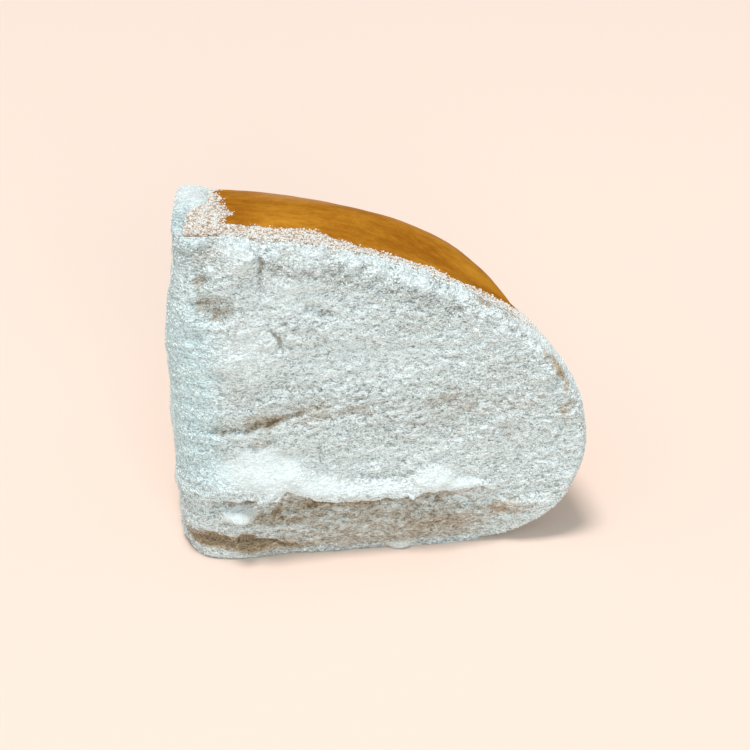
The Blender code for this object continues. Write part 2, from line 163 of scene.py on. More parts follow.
# Clumps that lap over the crust along the front rim: (run, half width, rise)
RIM_CLUMPS = [
    (5.0, 3.4, 0.5), (11.8, 4.2, 0.9), (18.5, 1.8, 0.7), (26.6, 2.4, 1.2), (33.2, 2.8, 1.3),
    (39.0, 4.0, 0.7), (45.0, 4.0, 0.8), (51.5, 4.0, 0.7),
]

# What shapes each face: its ledges, furrows, cracks, seams and lumps
FRONT_FACE = ([FRONT_LEDGE], FRONT_FURROWS, FRONT_CRACKS, FRONT_SEAMS, FRONT_LUMPS)
LEFT_FACE = ([LEFT_LEDGE, LEFT_UPPER_LEDGE], LEFT_FURROWS, LEFT_CRACKS, LEFT_SEAMS, LEFT_LUMPS)

# Places where moist cream or bread shows through, and painted shade under the ledges and in the hollows,
# the pit and the furrows; negative shares paint broad paler bands: (run, height, half width, half height,
# share)
FRONT_BARE_AND_SHADE = [
    (1.5, 4.9, 5.4, 3.4, 0.85),  # moist cream and painted shade in the hollow at the foot of the edge
    (8.0, 4.2, 7.6, 3.2, 0.66), (14.0, 2.6, 12.0, 2.6, 0.40),
    (17.0, 9.6, 9.0, 1.6, 0.30),  # painted shadow along a line below the small lobe, up to the ledge
    (27.0, 12.4, 9.0, 1.3, 0.20), (44.0, 13.6, 14.0, 1.5, 0.26),
    (31.0, 6.8, 33.0, 8.4, 0.44),  # painted shade and moist cream in the whole band below the ledge
    (36.0, 2.0, 26.0, 3.0, 0.12), (54.0, 6.4, 18.0, 7.0, 0.28),
    (9.5, 15.0, 5.0, 1.2, 0.9),  # painted shadow under the lobe's lip
    (17.5, 13.6, 5.0, 2.4, 0.22),
    (6.0, 59.6, 6.6, 5.4, 0.22),  # painted shade and some moist cream in the crumbly hollow at the top
    (5.0, 58.4, 4.6, 2.6, 0.08), (8.4, 57.0, 4.2, 2.2, 0.11), (3.4, 64.6, 2.8, 2.0, 0.16),
    (5.4, 69.0, 5.0, 3.8, 0.22), (3.0, 61.0, 1.8, 11.0, 0.16), (16.5, 61.0, 2.6, 4.6, 0.24),
    (20.0, 53.0, 5.0, 8.0, 0.10),
    (26.0, 57.2, 3.0, 2.0, 0.14),  # painted shade in the pit
    (22.0, 66.5, 8.0, 2.0, 0.18),
    (69.6, 48.6, 1.1, 2.6, 0.5),  # bare bread inside the rim
    (71.4, 45.8, 1.3, 2.8, 0.75), (73.0, 43.2, 1.7, 2.4, 0.85), (74.3, 40.6, 1.4, 2.8, 0.8),
    (75.6, 37.4, 1.0, 2.8, 0.55), (70.5, 36.0, 1.6, 1.8, 0.3), (75.5, 31.5, 2.2, 3.2, 0.5),
    (64.0, 9.0, 7.0, 2.4, 0.45), (6.0, 40.0, 8.0, 5.0, 0.14), (12.0, 32.4, 12.0, 3.6, 0.18),
    (34.0, 35.4, 34.0, 4.4, 0.17), (22.0, 33.5, 13.0, 4.5, 0.10), (20.5, 61.0, 9.0, 7.0, -0.34),
    (44.0, 31.0, 18.0, 5.0, 0.06), (14.0, 27.9, 3.4, 1.0, 0.18),
    (60.0, 34.0, 22.0, 20.0, 0.13),  # the warmer right side
    (42.0, 23.5, 24.0, 5.5, -0.22),  # broad paler bands
    (40.0, 46.5, 34.0, 9.0, -0.34), (34.0, 58.0, 14.0, 5.0, -0.16), (70.0, 22.0, 9.0, 8.0, -0.20),
]
# The left face's spots: moist cream, and painted shade under its ledges and in its hollows
LEFT_BARE_AND_SHADE = [
    (0.0, 4.6, 3.0, 2.2, 0.70), (20.0, 12.6, 16.0, 3.0, 0.42), (44.0, 14.6, 16.0, 4.0, 0.36),
    (58.0, 18.6, 9.0, 3.2, 0.34), (34.0, 7.0, 34.0, 8.0, 0.30), (36.0, 60.0, 10.0, 2.6, 0.22),
    (70.0, 36.0, 3.2, 7.0, 0.45), (36.0, 34.6, 26.0, 3.0, 0.24), (34.0, 41.0, 22.0, 2.4, 0.20),
]


# Settings


def length_setting(name, description, default):
    return FloatProperty(name=name, description=description, default=default, unit="LENGTH")


def amount_setting(name, description, default, unit="NONE"):
    return FloatProperty(name=name, description=description, default=default, unit=unit)


def turn_setting(name, description, degrees):
    return FloatProperty(name=name, description=description, default=radians(degrees), subtype="ANGLE")


def colour_setting(name, description, default):
    return FloatVectorProperty(name=name, description=description, default=default, subtype="COLOR")


class BUN_PG_loaf(bpy.types.PropertyGroup):
    """The baked loaf, before it is cut in four."""

    radius: length_setting("Radius", "Of the whole round loaf", 80 * MM)
    height: length_setting("Height", "At the loaf's axis", 73 * MM)
    widest_height: length_setting("Widest height", "Where the side is widest", 21.6 * MM)
    base_radius: length_setting("Base radius", "Of the flat underside", 58.4 * MM)
    edge_radius: length_setting("Edge radius", "Of the quarter's sharp edge", 3 * MM)
    swell: length_setting("Swell", "How uneven the crust is", 0.45 * MM)
    brown: colour_setting("Brown crust", "Where it baked most", (0.300, 0.100, 0.0075))
    golden: colour_setting("Golden crust", "Where it baked least", (0.545, 0.238, 0.023))


class BUN_PG_cream(bpy.types.PropertyGroup):
    """The cream cheese on the cut faces, and the colours of its milk powder."""

    thickness: length_setting("Thickness", "On the front cut face", 4.5 * MM)
    left_thickness: length_setting("Left thickness", "On the left cut face", 4.1 * MM)
    gap: length_setting("Gap", "Between cream and bread", 0.3 * MM)
    lump_height: length_setting("Lump height", "Of the crumbs of powder", 0.34 * MM)
    white: colour_setting("Dry powder", "Colour of thick milk powder", (0.755, 0.818, 0.822))
    # Thin powder: greyer, partly as painted shade
    shaded: colour_setting("Thin powder", "Colour of thin powder", (0.715, 0.762, 0.752))
    moist: colour_setting("Moist cream", "Colour of cream that shows", (0.56, 0.50, 0.42))
    film: colour_setting("Powder film", "Between grains on the crust", (0.367, 0.262, 0.175))
    loose: colour_setting("Loose grains", "Colour of loose milk powder", (0.775, 0.767, 0.742))
    # painted cool light beside the sharp edge
    cool: colour_setting("Sharp edge", "Colour beside the sharp edge", (0.65, 0.79, 0.81))
    # The deepest hollows' brown: moist cream, darkened with painted shade
    bare_and_shade: colour_setting("Bare hollows", "Colour of the deepest hollows", (0.44, 0.33, 0.215))


class BUN_PG_powder(bpy.types.PropertyGroup):
    """The loose grains of milk powder."""

    smallest: length_setting("Smallest", "Grain radius", 0.10 * MM)
    largest: length_setting("Largest", "Grain radius", 0.38 * MM)
    crust_density: amount_setting("On the crust", "Grains a square metre where it is thickest", 5.5e6)
    cream_density: amount_setting("On the cream", "Grains a square metre where it is thickest", 2.2e6)
    seed: IntProperty(name="Seed", description="Of the scattering", default=7)


class BUN_PG_stage(bpy.types.PropertyGroup):
    """Floor, light and camera."""

    floor: colour_setting("Floor", "Colour of the plain floor", (0.802, 0.642, 0.553))
    sky: colour_setting("Sky", "Colour of the light all round", (0.82, 0.97, 1.0))
    sky_strength: amount_setting("Sky strength", "Of the light all round", 0.552)
    key_watts: amount_setting("Key light", "Power of the large lamp above", 69.6, "POWER")
    fill_watts: amount_setting("Front light", "Power of the lamp in front", 74.4, "POWER")
    azimuth: turn_setting("Azimuth", "Camera's, 0 looks along +Y", -3.8)
    elevation: turn_setting("Elevation", "Camera's, above the floor", 29.6)
    roll: turn_setting("Roll", "Camera's tilt", -1.9)
    distance: length_setting("Distance", "From camera to its aim", 416 * MM)
    lens: amount_setting("Lens", "Focal length in millimetres", 89.4, "CAMERA")


# Shader and geometry nodes

MIX_FIRST, MIX_SECOND = 6, 7  # the colour inputs of a Mix node, which share their names with others
MIX_RESULT = 2


class Socket:
    """One output of a node. Sums on it add Math nodes to its tree."""

    def __init__(self, tree, output):
        self.tree = tree
        self.output = output

    def also(self, name):
        """Another output of the same node."""
        return Socket(self.tree, self.output.node.outputs[name])

    def maths(self, operation, *values):
        return self.tree.node("ShaderNodeMath", {"operation": operation}, enumerate(values))

    def clamped(self, low, high):
        return self.tree.node("ShaderNodeClamp", {}, {"Value": self, "Min": low, "Max": high})

    def between(self, low, high):
        """0 below low, 1 above high, and eased between them."""
        settings = {"interpolation_type": "SMOOTHSTEP"}
        inputs = {"Value": self, "From Min": low, "From Max": high}
        return self.tree.node("ShaderNodeMapRange", settings, inputs)

    def __add__(self, other):
        return self.maths("ADD", self, other)

    def __sub__(self, other):
        return self.maths("SUBTRACT", self, other)

    def __rsub__(self, other):
        return self.maths("SUBTRACT", other, self)

    def __mul__(self, other):
        return self.maths("MULTIPLY", self, other)

    def __pow__(self, other):
        return self.maths("POWER", self, other)

    __radd__ = __add__
    __rmul__ = __mul__


class Tree:
    """Adds nodes to a tree, all by the one method node."""

    def __init__(self, nodes):
        self.nodes = nodes

    def node(self, kind, settings=(), inputs=(), output=0):
        """A node of this kind. Settings are set first, then the values or links of its sockets."""
        made = self.nodes.nodes.new(kind)
        for name, value in dict(settings).items():
            if name == "stops":
                self.set_stops(made.color_ramp, value)
            else:
                setattr(made, name, value)
        for name, value in dict(inputs).items():
            if isinstance(value, Socket):
                self.nodes.links.new(value.output, made.inputs[name])
            else:
                made.inputs[name].default_value = value
        return Socket(self, made.outputs[output] if made.outputs else None)

    @staticmethod
    def set_stops(scale, stops):
        while len(scale.elements) < len(stops):
            scale.elements.new(1.0)
        for element, (position, colour) in zip(scale.elements, stops):
            element.position = position
            element.color = (*colour, 1.0)

    def attribute(self, name):
        return self.node("ShaderNodeAttribute", {"attribute_name": name}, output="Fac")

    def mix(self, share, first, second, blend="MIX"):
        """A colour between two others, or their product."""
        settings = {"data_type": "RGBA", "clamp_factor": True, "clamp_result": True, "blend_type": blend}
        inputs = {0: share, MIX_FIRST: opaque(first), MIX_SECOND: opaque(second)}
        return self.node("ShaderNodeMix", settings, inputs, MIX_RESULT)

    def vector(self, operation, inputs):
        return self.node("ShaderNodeVectorMath", {"operation": operation}, inputs)

    def random_vector(self, least, most, seed):
        inputs = {0: least, 1: most, "Seed": seed}
        return self.node("FunctionNodeRandomValue", {"data_type": "FLOAT_VECTOR"}, inputs)

    def bump(self, strength, distance, height):
        inputs = {"Strength": strength, "Distance": distance, "Height": height}
        return self.node("ShaderNodeBump", {}, inputs)

    def counted(self, place, lumps):
        """A texture's inputs, for lumps of this size in millimetres, one or three numbers."""
        if isinstance(lumps, tuple):
            scale = tuple(1 / (size * MM) for size in lumps)
            return {"Vector": self.vector("MULTIPLY", {0: place, 1: scale}), "Scale": 1.0}
        return {"Vector": place, "Scale": 1 / (lumps * MM)}

    def noise(self, place, lumps, detail=3.0, roughness=0.5, distortion=0.0, output="Fac"):
        inputs = {"Detail": detail, "Roughness": roughness, "Distortion": distortion}
        inputs.update(self.counted(place, lumps))
        return self.node("ShaderNodeTexNoise", {}, inputs, output)

    def cells(self, place, lumps, smoothness=0.0):
        """Distance to the nearest of scattered points, in units of the lumps."""
        inputs = self.counted(place, lumps)
        if smoothness:
            inputs["Smoothness"] = smoothness
        feature = "SMOOTH_F1" if smoothness else "F1"
        return self.node("ShaderNodeTexVoronoi", {"feature": feature}, inputs, output="Distance")


def opaque(colour):
    return colour if isinstance(colour, Socket) else (*colour[:3], 1.0)


def dimmer(colour, share):
    return tuple(share * value for value in colour)


def new_material(name):
    """A new material, its empty tree, and the object's coordinates. finish_material adds the shader."""
    made = bpy.data.materials.new(name)
    made.use_nodes = True
    made.node_tree.nodes.clear()
    tree = Tree(made.node_tree)
    return made, tree, tree.node("ShaderNodeTexCoord", output="Object")


def finish_material(tree, inputs):
    shader = tree.node("ShaderNodeBsdfPrincipled", {}, inputs)
    tree.node("ShaderNodeOutputMaterial", {}, {"Surface": shader})


def powder_film(tree, place, dust, cream):
    """Where a thin layer of powder covers a surface, its colour, and its grains."""
    speck = 1 - tree.cells(place, 0.62, 0.35)
    clump = tree.noise(place, 0.9, 3.0, 0.7)
    covered = (dust * 1.7 + (speck - 0.5) * 0.5 + (clump - 0.5) * 1.0 - 0.55).between(0.0, 0.55)
    fleck = (speck * 0.9 + clump * 0.7 - 0.62).between(0.05, 0.45)
    return covered, tree.mix(fleck, cream.film, cream.loose), speck


def crust_material(loaf, cream):
    """Golden brown crust, satin, with powder where the dust attribute says."""
    made, tree, place = new_material("baked_crust")
    # the baked attribute is the crust's brownness, with painted sheen away from the front cut
    baked = tree.attribute("baked")
    patches = tree.noise(place, 18, 5.0)
    streaks = tree.noise(place, (13, 3, 3), 5.0, 0.7, 0.6)
    mottle = tree.noise(place, 2.2, 6.0, 0.78)
    creases = tree.noise(place, (18, 4, 4), 2.0, 0.5, 1.0)
    crease = 1 - (creases - 0.5).maths("ABSOLUTE").between(0.0, 0.02)
    crease = crease * patches.between(0.45, 0.6)
    brownness = baked + (patches - 0.5) * 1.7 + (streaks - 0.5) * 0.8
    brownness = brownness + (mottle - 0.5) * 1.25 + crease * 0.25
    colour = tree.mix(brownness.between(-0.05, 1.05), loaf.golden, loaf.brown)
    dust = tree.attribute("dust")
    covered, film, speck = powder_film(tree, place, dust, cream)
    dusted = tree.mix(covered * 0.82, colour, film)
    rough = 0.46 + (mottle - 0.5) * 0.12 + covered * 0.40
    pores = tree.noise(place, 0.8, 4.0, 0.6)
    height = pores * 0.25 + streaks * 0.5 + covered * speck * 1.6 - crease * 0.6
    bump = tree.bump(0.5, 0.20 * MM, height)
    inputs = {"Base Color": dusted, "Roughness": rough, "Normal": bump, "Specular IOR Level": 0.0}
    inputs["Coat Weight"] = tree.attribute("gloss") * (1 - covered)
    inputs["Coat Roughness"] = 0.32
    finish_material(tree, inputs)
    return made


def cream_material(cream):
    """Milk powder on cream cheese: white and dry where it stands out, moist and brown where the cream shows
    through, and grainy all over. Its colour also holds painted shade between the grains, in hollows and
    under the ledges, painted highlights on the grains' tops, painted light on the left face and painted
    cool light beside the sharp edge."""
    made, tree, place = new_material("powdered_cream")
    calm = tree.attribute("calm")
    bend = tree.noise(place, 1.9, 2.0, output="Color")
    shift = tree.vector("SCALE", {0: bend, "Scale": 1.2 * MM})
    bent = tree.vector("ADD", {0: place, 1: shift})
    grains = tree.cells(bent, (0.70, 0.70, 0.39), 0.1)
    flecks = tree.cells(place, 0.42)
    worm = tree.noise(bent, (1.20, 1.20, 0.42), 4.0, 0.75)
    patches = tree.noise(place, (10, 10, 4), 3.0, 0.6)
    # gaps: painted shade between the grains, and painted highlights on their tops where it falls below zero
    gaps = grains.between(0.22, 0.78) * 0.50 + flecks.between(0.24, 0.74) * 0.42 + (0.5 - worm) * 3.0 - 0.63
    # hollow: painted shade in hollows and under ledges, with moist cream where it shows; below zero,
    # painted light
    hollow = tree.attribute("hollow")
    pale = hollow.maths("MINIMUM", hollow, 0.0)
    # the groove attribute adds painted shade to the gaps; paler places take them away
    gaps = (gaps + tree.attribute("groove") * 0.22 + pale * 0.5) * (1 - calm * 0.82)
    # where painted shade and moist cream are strongest, the grain shows less
    shade_and_moist = hollow.between(0.1, 0.5)
    gaps = gaps * (1 - shade_and_moist * 0.22)
    tint = hollow * (1 + gaps * 0.12) + (patches - 0.5) * (1.05 - shade_and_moist * 0.65) + gaps * 0.03 + 0.12
    stops = [(0.0, cream.white), (0.30, cream.shaded), (0.62, cream.moist), (0.85, cream.bare_and_shade)]
    # the last stop, darker still, is painted shade in the deepest hollows
    stops.append((1.0, dimmer(cream.bare_and_shade, 0.80)))
    colour = tree.node("ShaderNodeValToRGB", {"stops": stops}, {"Fac": tint})
    # painted cool light beside the sharp edge, less in the painted hollows
    cool = tree.attribute("cool") * (1 - hollow.between(0.15, 0.6))
    colour = tree.mix(cool, colour, cream.cool)
    # the grains' painted shade and highlights multiply the colour
    dark = (0.94 - gaps * 0.88 - calm * 0.06).clamped(0.40, 1.21)
    colour = tree.mix(1.0, colour, dark, "MULTIPLY")
    covered, film, _ = powder_film(tree, place, tree.attribute("dust"), cream)
    colour = tree.mix(covered, colour, film)
    height = ((1 - grains) * 0.55 + (1 - flecks) * 0.20 + worm * 0.80) * (1.06 - calm * 0.72)
    bump = tree.bump(1.0, 0.9 * MM, height)
    inputs = {"Base Color": colour, "Roughness": 0.95, "Specular IOR Level": 0.12, "Normal": bump}
    finish_material(tree, inputs)
    return made


def powder_material(name, colour):
    """Loose grains of milk powder, a little uneven in tone."""
    made, tree, place = new_material(name)
    tone = tree.noise(place, 1.2, 2.0)
    darker = tuple(share * value for share, value in zip((0.96, 0.93, 0.88), colour))
    mixed = tree.mix(tone.between(0.35, 0.7), colour, darker)
    finish_material(tree, {"Base Color": mixed, "Roughness": 0.9, "Specular IOR Level": 0.2})
    return made


def floor_material(stage):
    """Pale and plain, a little uneven."""
    made, tree, place = new_material("plain_floor")
    tone = tree.noise(place, 600, 1.0)
    colour = tree.mix(tone, stage.floor, dimmer(stage.floor, 0.985))
    finish_material(tree, {"Base Color": colour, "Roughness": 0.9, "Specular IOR Level": 0.1})
    return made


# Shape helpers, on arrays

UP = np.array((0.0, 0.0, 1.0))


def smooth_step(low, high, value):
    share = np.clip((value - low) / (high - low), 0.0, 1.0)
    return share * share * (3 - 2 * share)


def ramp(low, high, value):
    """smooth_step between two values in millimetres."""
    return smooth_step(low * MM, high * MM, value)


def bell(value, width, power=2):
    """1 at zero, and next to nothing from two widths away."""
    return np.exp(-((value / width) ** power))


def fractal(places, wave, octaves=3, seed=0.0):
    """Fractal noise, about -1 to 1. wave is the size of its largest lumps, one or three numbers."""
    scaled = (places / np.array(wave) + seed).reshape(-1, 3).tolist()
    values = [noise.fractal(place, 1.0, 2.0, octaves) for place in scaled]
    return np.array(values).reshape(places.shape[:-1])


def granules(places, wave, seed=0.0):
    """Rounded grains packed side by side, 1 at their tops and below 0 between them."""
    scaled = (places / np.array(wave) + seed).reshape(-1, 3).tolist()
    far = np.array([noise.voronoi(place)[0][0] for place in scaled])
    return (1 - 2.2 * far**2).reshape(places.shape[:-1])


def no_more(value, limit, ease):
    """The value, eased so that it stays below its limit."""
    return (value + limit - np.sqrt((value - limit) ** 2 + ease**2)) / 2


def blur(field, cells):
    """The field's mean over a square of 2 * cells + 1 each way."""
    for axis in (0, 1):
        edges = [(0, 0), (0, 0)]
        edges[axis] = (cells + 1, cells)
        total = np.cumsum(np.pad(field, edges, mode="edge"), axis=axis)
        count = field.shape[axis]
        upper = np.take(total, range(2 * cells + 1, 2 * cells + 1 + count), axis=axis)
        lower = np.take(total, range(count), axis=axis)
        field = (upper - lower) / (2 * cells + 1)
    return field


def along(path, run):
    """The values of a path's rows at each run, eased from row to row, and where the path runs."""
    rows = np.array(path) * MM
    first = np.clip(np.searchsorted(rows[:, 0], run) - 1, 0, len(rows) - 2)
    low, high = rows[first], rows[first + 1]
    share = smooth_step(low[..., 0], high[..., 0], run)
    values = low + (high - low) * share[..., None]
    inside = (run >= rows[0, 0]) & (run <= rows[-1, 0])
    return [values[..., k] for k in range(1, rows.shape[1])] + [inside]


def spot(spec, run, height, sharpness=1.5):
    """A lump's height over its oval, or a spot's share."""
    centre_run, centre_height, half_width, half_height = (value * MM for value in spec[:4])
    far = ((run - centre_run) / half_width) ** 2 + ((height - centre_height) / half_height) ** 2
    return spec[4] * np.clip(1 - far, 0.0, None) ** sharpness


def spots(table, run, height, sharpness):
    return sum(spot(spec, run, height, sharpness) for spec in table)


# The loaf's profile

DOME_RUN_POWER = 1.65
DOME_RISE_POWER = 2.29
FOOT_POWER = 1.85


def dome_height(loaf, run):
    """Height of the crust above the widest line, a superellipse."""
    share = np.clip(run / loaf.radius, 0.0, 1.0)
    rise = loaf.height - loaf.widest_height
    return loaf.widest_height + rise * (1 - share**DOME_RUN_POWER) ** (1 / DOME_RISE_POWER)


def foot_height(loaf, run):
    """Height of the crust below the widest line, where the side curves under."""
    share = np.clip((run - loaf.base_radius) / (loaf.radius - loaf.base_radius), 0.0, 1.0)
    return loaf.widest_height * (1 - (1 - share**FOOT_POWER) ** (1 / FOOT_POWER))


def dome_line(loaf, first, last, count):
    """Points of the dome between two runs, closer together as it steepens."""
    turns = np.linspace(np.arcsin(first / loaf.radius), np.arcsin(last / loaf.radius), count + 1)
    runs = loaf.radius * np.sin(turns)
    return np.stack([runs, dome_height(loaf, runs)], axis=1)


def foot_line(loaf, count):
    """Points from the widest line down to the edge of the underside."""
    depth = loaf.radius - loaf.base_radius
    runs = loaf.base_radius + depth * np.cos(np.linspace(0, pi / 2, count + 1))
    return np.stack([runs, foot_height(loaf, runs)], axis=1)


def evenly(points, count):
    """The same line with count + 1 points an equal way apart."""
    lengths = np.r_[0, np.cumsum(np.linalg.norm(np.diff(points, axis=0), axis=1))]
    wanted = np.linspace(0, lengths[-1], count + 1)
    return np.stack([np.interp(wanted, lengths, points[:, k]) for k in (0, 1)], axis=1)


# The bread

CRUST_TURNS = 190  # quads round the quarter
CRUST_ROWS = 230  # quads from the axis over the dome to the base
EDGE_BLEND = 20 * MM  # how far the quarter's rounded edge pushes the crust's rows out
CRUST_WAVE = 34 * MM
LEATHER_WAVE = 6 * MM
LEATHER_HEIGHT = 0.10 * MM
GLOSS = 0.35  # of the egg wash, where no powder dulls it
FLAT_FOOT = 8 * MM  # the crust is even below this height, so that the base lies flat

# Where the round is pressed in or bulges: (degrees from the front cut face, half width, share)
SQUEEZES = [(16, 10, -0.032), (35, 11, 0.020), (68, 24, -0.015)]

# Powder along the cut edges: (run, width)
FRONT_DUST = [
    (0, 8.4), (20, 7.6), (26, 7.9), (31, 6.6), (36, 4.9), (46, 4.4), (57, 3.9), (61, 5.0),
    (65, 8.0), (70, 14.0), (76, 22.0), (90, 22.0),
]
LEFT_DUST = [(0, 9.5), (20, 8.8), (45, 6.6), (70, 5.4), (90, 5.0)]


def new_mesh(name, places, faces, attributes):
    """A closed mesh with outward faces. Places are in the loaf's frame."""
    made = bpy.data.meshes.new(name)
    made.from_pydata((places + LOAF_AXIS).tolist(), [], faces)
    for attribute, values in attributes.items():
        layer = made.attributes.new(attribute, "FLOAT", "POINT")
        layer.data.foreach_set("value", np.asarray(values, np.float32))
    shape = bmesh.new()
    shape.from_mesh(made)
    bmesh.ops.recalc_face_normals(shape, faces=shape.faces)
    shape.to_mesh(made)
    shape.free()
    return made


def new_object(name, data):
    made = bpy.data.objects.new(name, data)
    bpy.context.scene.collection.objects.link(made)
    return made


def add_piece(name, mesh, material):
    """Links a finished mesh as a piece at the origin, smooth, riding on the bun."""
    mesh.materials.clear()
    mesh.materials.append(material)
    mesh.shade_smooth()
    made = new_object(name, mesh)
    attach(made, "root")
    return made


def grid_faces(index):
    """Quads between the rows and columns of an array of vertex numbers."""
    corners = [index[:-1, :-1], index[:-1, 1:], index[1:, 1:], index[1:, :-1]]
    return np.stack(corners, axis=-1).reshape(-1, 4).tolist()


def squeeze(angle):
    """The run at this angle from the front cut face, as a share of the round loaf's."""
    return 1 + sum(share * bell(angle - centre, width) for centre, width, share in SQUEEZES)


def crust_swell(loaf, places):
    """How far the uneven crust stands out."""
    leather = fractal(places, LEATHER_WAVE, 3, seed=4.1)
    swell = loaf.swell * fractal(places, CRUST_WAVE, 2) + LEATHER_HEIGHT * leather
    return swell * smooth_step(0, FLAT_FOOT, places[..., 2])


def dust_share(places):
    """How thick the powder lies on the crust, from its distance to both cut edges."""
    ragged = 1 + 0.30 * fractal(places, 5 * MM, 4, seed=2.7)
    front_width = along(FRONT_DUST, np.clip(places[..., 0], 0, 89 * MM))[0] * ragged
    left_width = along(LEFT_DUST, np.clip(places[..., 1], 0, 89 * MM))[0] * ragged
    far = np.minimum(places[..., 1] / front_width, places[..., 0] / left_width)
    wide = ramp(9, 18, front_width)
    return 1 - smooth_step(0.72 - 0.40 * wide, 1.12 + 0.12 * wide, far)


def baked_and_sheen_share(places):
    """How brown the crust is: less down the side and more at the foot; and more along the front cut, so
    that the crust farther back is lighter, as painted sheen.
    """
    side = ramp(64, 18, places[..., 2])
    foot = ramp(12, 0, places[..., 2])
    # painted sheen: darker along the front cut, so that the crust farther back looks lighter
    edge = ramp(20, 6, places[..., 1])
    return 0.50 - 0.22 * side + 0.45 * foot + 0.16 * edge


def gloss_share(places):
    """How much egg wash still shines: the powder's dust dulls it towards the cut edges and the foot."""
    return GLOSS * ramp(24, 42, places[..., 1]) * ramp(6, 22, places[..., 0]) * ramp(4, 24, places[..., 2])


def bread_mesh(loaf):
    """The quarter loaf: its crust turned through a right angle, a rounded edge at the axis, flat cut
    faces and a flat base."""
    turns = np.linspace(0, pi / 2, CRUST_TURNS + 1)
    spread = np.cos(turns) + np.sin(turns)
    start = loaf.edge_radius * (spread - np.sqrt(np.clip(spread**2 - 1, 0, None)))
    line = np.vstack([dome_line(loaf, 0, loaf.radius, 400), foot_line(loaf, 200)[1:]])
    line = evenly(line, CRUST_ROWS)
    on_dome = line[:, 1] >= loaf.widest_height
    push = np.clip(1 - line[:, 0] / EDGE_BLEND, 0, None) * on_dome
    runs = line[:, 0] + start[:, None] * push
    rises = np.where(on_dome, dome_height(loaf, runs), line[:, 1])
    axes = np.stack([np.cos(turns), np.sin(turns), 0 * turns], axis=1)[:, None]
    places = runs[..., None] * squeeze(np.degrees(turns))[:, None, None] * axes + rises[..., None] * UP
    outward = crust_outward(loaf, runs, rises)
    swell = crust_swell(loaf, places)[..., None]
    places = places + swell * (outward[..., :1] * axes + outward[..., 1:] * UP)
    foot = start[:, None, None] * axes
    ring = np.concatenate([places, foot], axis=1)
    index = np.arange(ring.shape[0] * ring.shape[1]).reshape(ring.shape[:2])
    faces = grid_faces(np.concatenate([index, index[:, :1]], axis=1))
    faces += [index[0].tolist(), index[-1].tolist()]
    flat = ring.reshape(-1, 3)
    attributes = {"dust": dust_share(flat), "baked": baked_and_sheen_share(flat), "gloss": gloss_share(flat)}
    return new_mesh("bread_crust", flat, faces, attributes)


# The cream

FRONT_COLUMNS = 224
LEFT_COLUMNS = 150
CORNER_COLUMNS = 22
CREAM_ROWS = 226
RIM_TOP_RUN = 64 * MM  # where the grid's rim side ends and its top side starts
CREAM_FOOT = 0.06 * MM
CREAM_LOWEST = 0.05 * MM
POWDER_FOOT = 0.6 * MM  # no loose grains lie on the cream below this height
EDGE_THICKNESS = 1.0 * MM
FRONT_ROUNDING = 2.2 * MM  # how far from the crust the front cream thins
LEFT_ROUNDING = (3.6 * MM, 18 * MM)  # low down, and near the top
CREAM_SWELL = 0.5 * MM
SMEAR_HEIGHT = 0.28 * MM
SMEAR_SHIFT = 0.35 * MM  # how far the smears move the crumbs
CRUMB_SIZES = (1.25, 1.25, 0.85)  # in millimetres
CLUMP_HEIGHT = 0.3 * MM
CALM_CLUMP_HEIGHT = 0.12 * MM  # more of it where the powder is smooth
STREAK_HEIGHT = 0.22 * MM  # of the vertical streaks on the sharp edge
LEDGE_CREST = 0.42  # where a ledge stands out most, as a share of the way up from its lip
LEDGE_SAG = 0.40  # how far a ledge droops, as a share of how far it stands out
LIP_DROP = 0.5 * MM
LIP_RAGGED = 0.3 * MM
EDGE_STEPS = 6
EDGE_ARCH = 0.42  # how far the rolled edge bulges, as a share of half its width
EDGE_SINK = 0.4 * MM  # how far its back edge sinks below the crust
EDGE_CRUMBS = 0.18 * MM
RIM_CRACK = (61.0 * MM, 5.0 * MM)  # along the front rim: the run of its middle, half its length
RIM_FLUFF = 0.9 * MM  # how far loose clumps stand out along the rim
UNDERCUT = 1.0 * MM  # how far the cream stands back under a ledge
FURROW_SIDES = (0.9 * MM, 4.0 * MM)  # how wide a furrow's lower and upper sides are
CRACK_SIDES = (0.40 * MM, 0.40 * MM)
SEAM_WIDTH = 0.5 * MM
FURROW_BARE_AND_SHADE = 0.16  # how much a furrow's line darkens, moist cream and painted shade, for each millimetre of its depth
# the same for a crack's line; a seam's line darkens only with painted shade
CRACK_BARE_AND_SHADE = 0.50
SEAM_SHADE = 0.24
WOBBLE = 0.5 * MM  # how far noise moves a face's reliefs up or down
BEND = 0.45 * MM  # how far it moves them along the face
STRAY = 0.9 * MM  # how far it moves the outlines of the spots of moist cream and painted shade

# How far the cream may stand out on the left face, by height: (height at the sharp edge, limit).
# The line of one limit runs down by LIMIT_FALL and out by LIMIT_SPREAD of the run from there.
LEFT_LIMIT = [
    (0, 2.4), (2.5, 3.3), (5, 4.3), (9, 4.7), (15, 4.7), (25, 4.4), (31, 4.4), (38, 4.0), (44, 4.1),
    (51, 4.2), (54.5, 4.0), (57.5, 3.4), (61, 2.9), (64.5, 2.3), (67.5, 1.6), (74, 0.9),
]
LIMIT_FALL = 0.57
LIMIT_SPREAD = 0.05
LIMIT_EASE = 0.8 * MM
LIMIT_MARGIN = 0.5 * MM  # left under the limit for the relief, away from the sharp edge

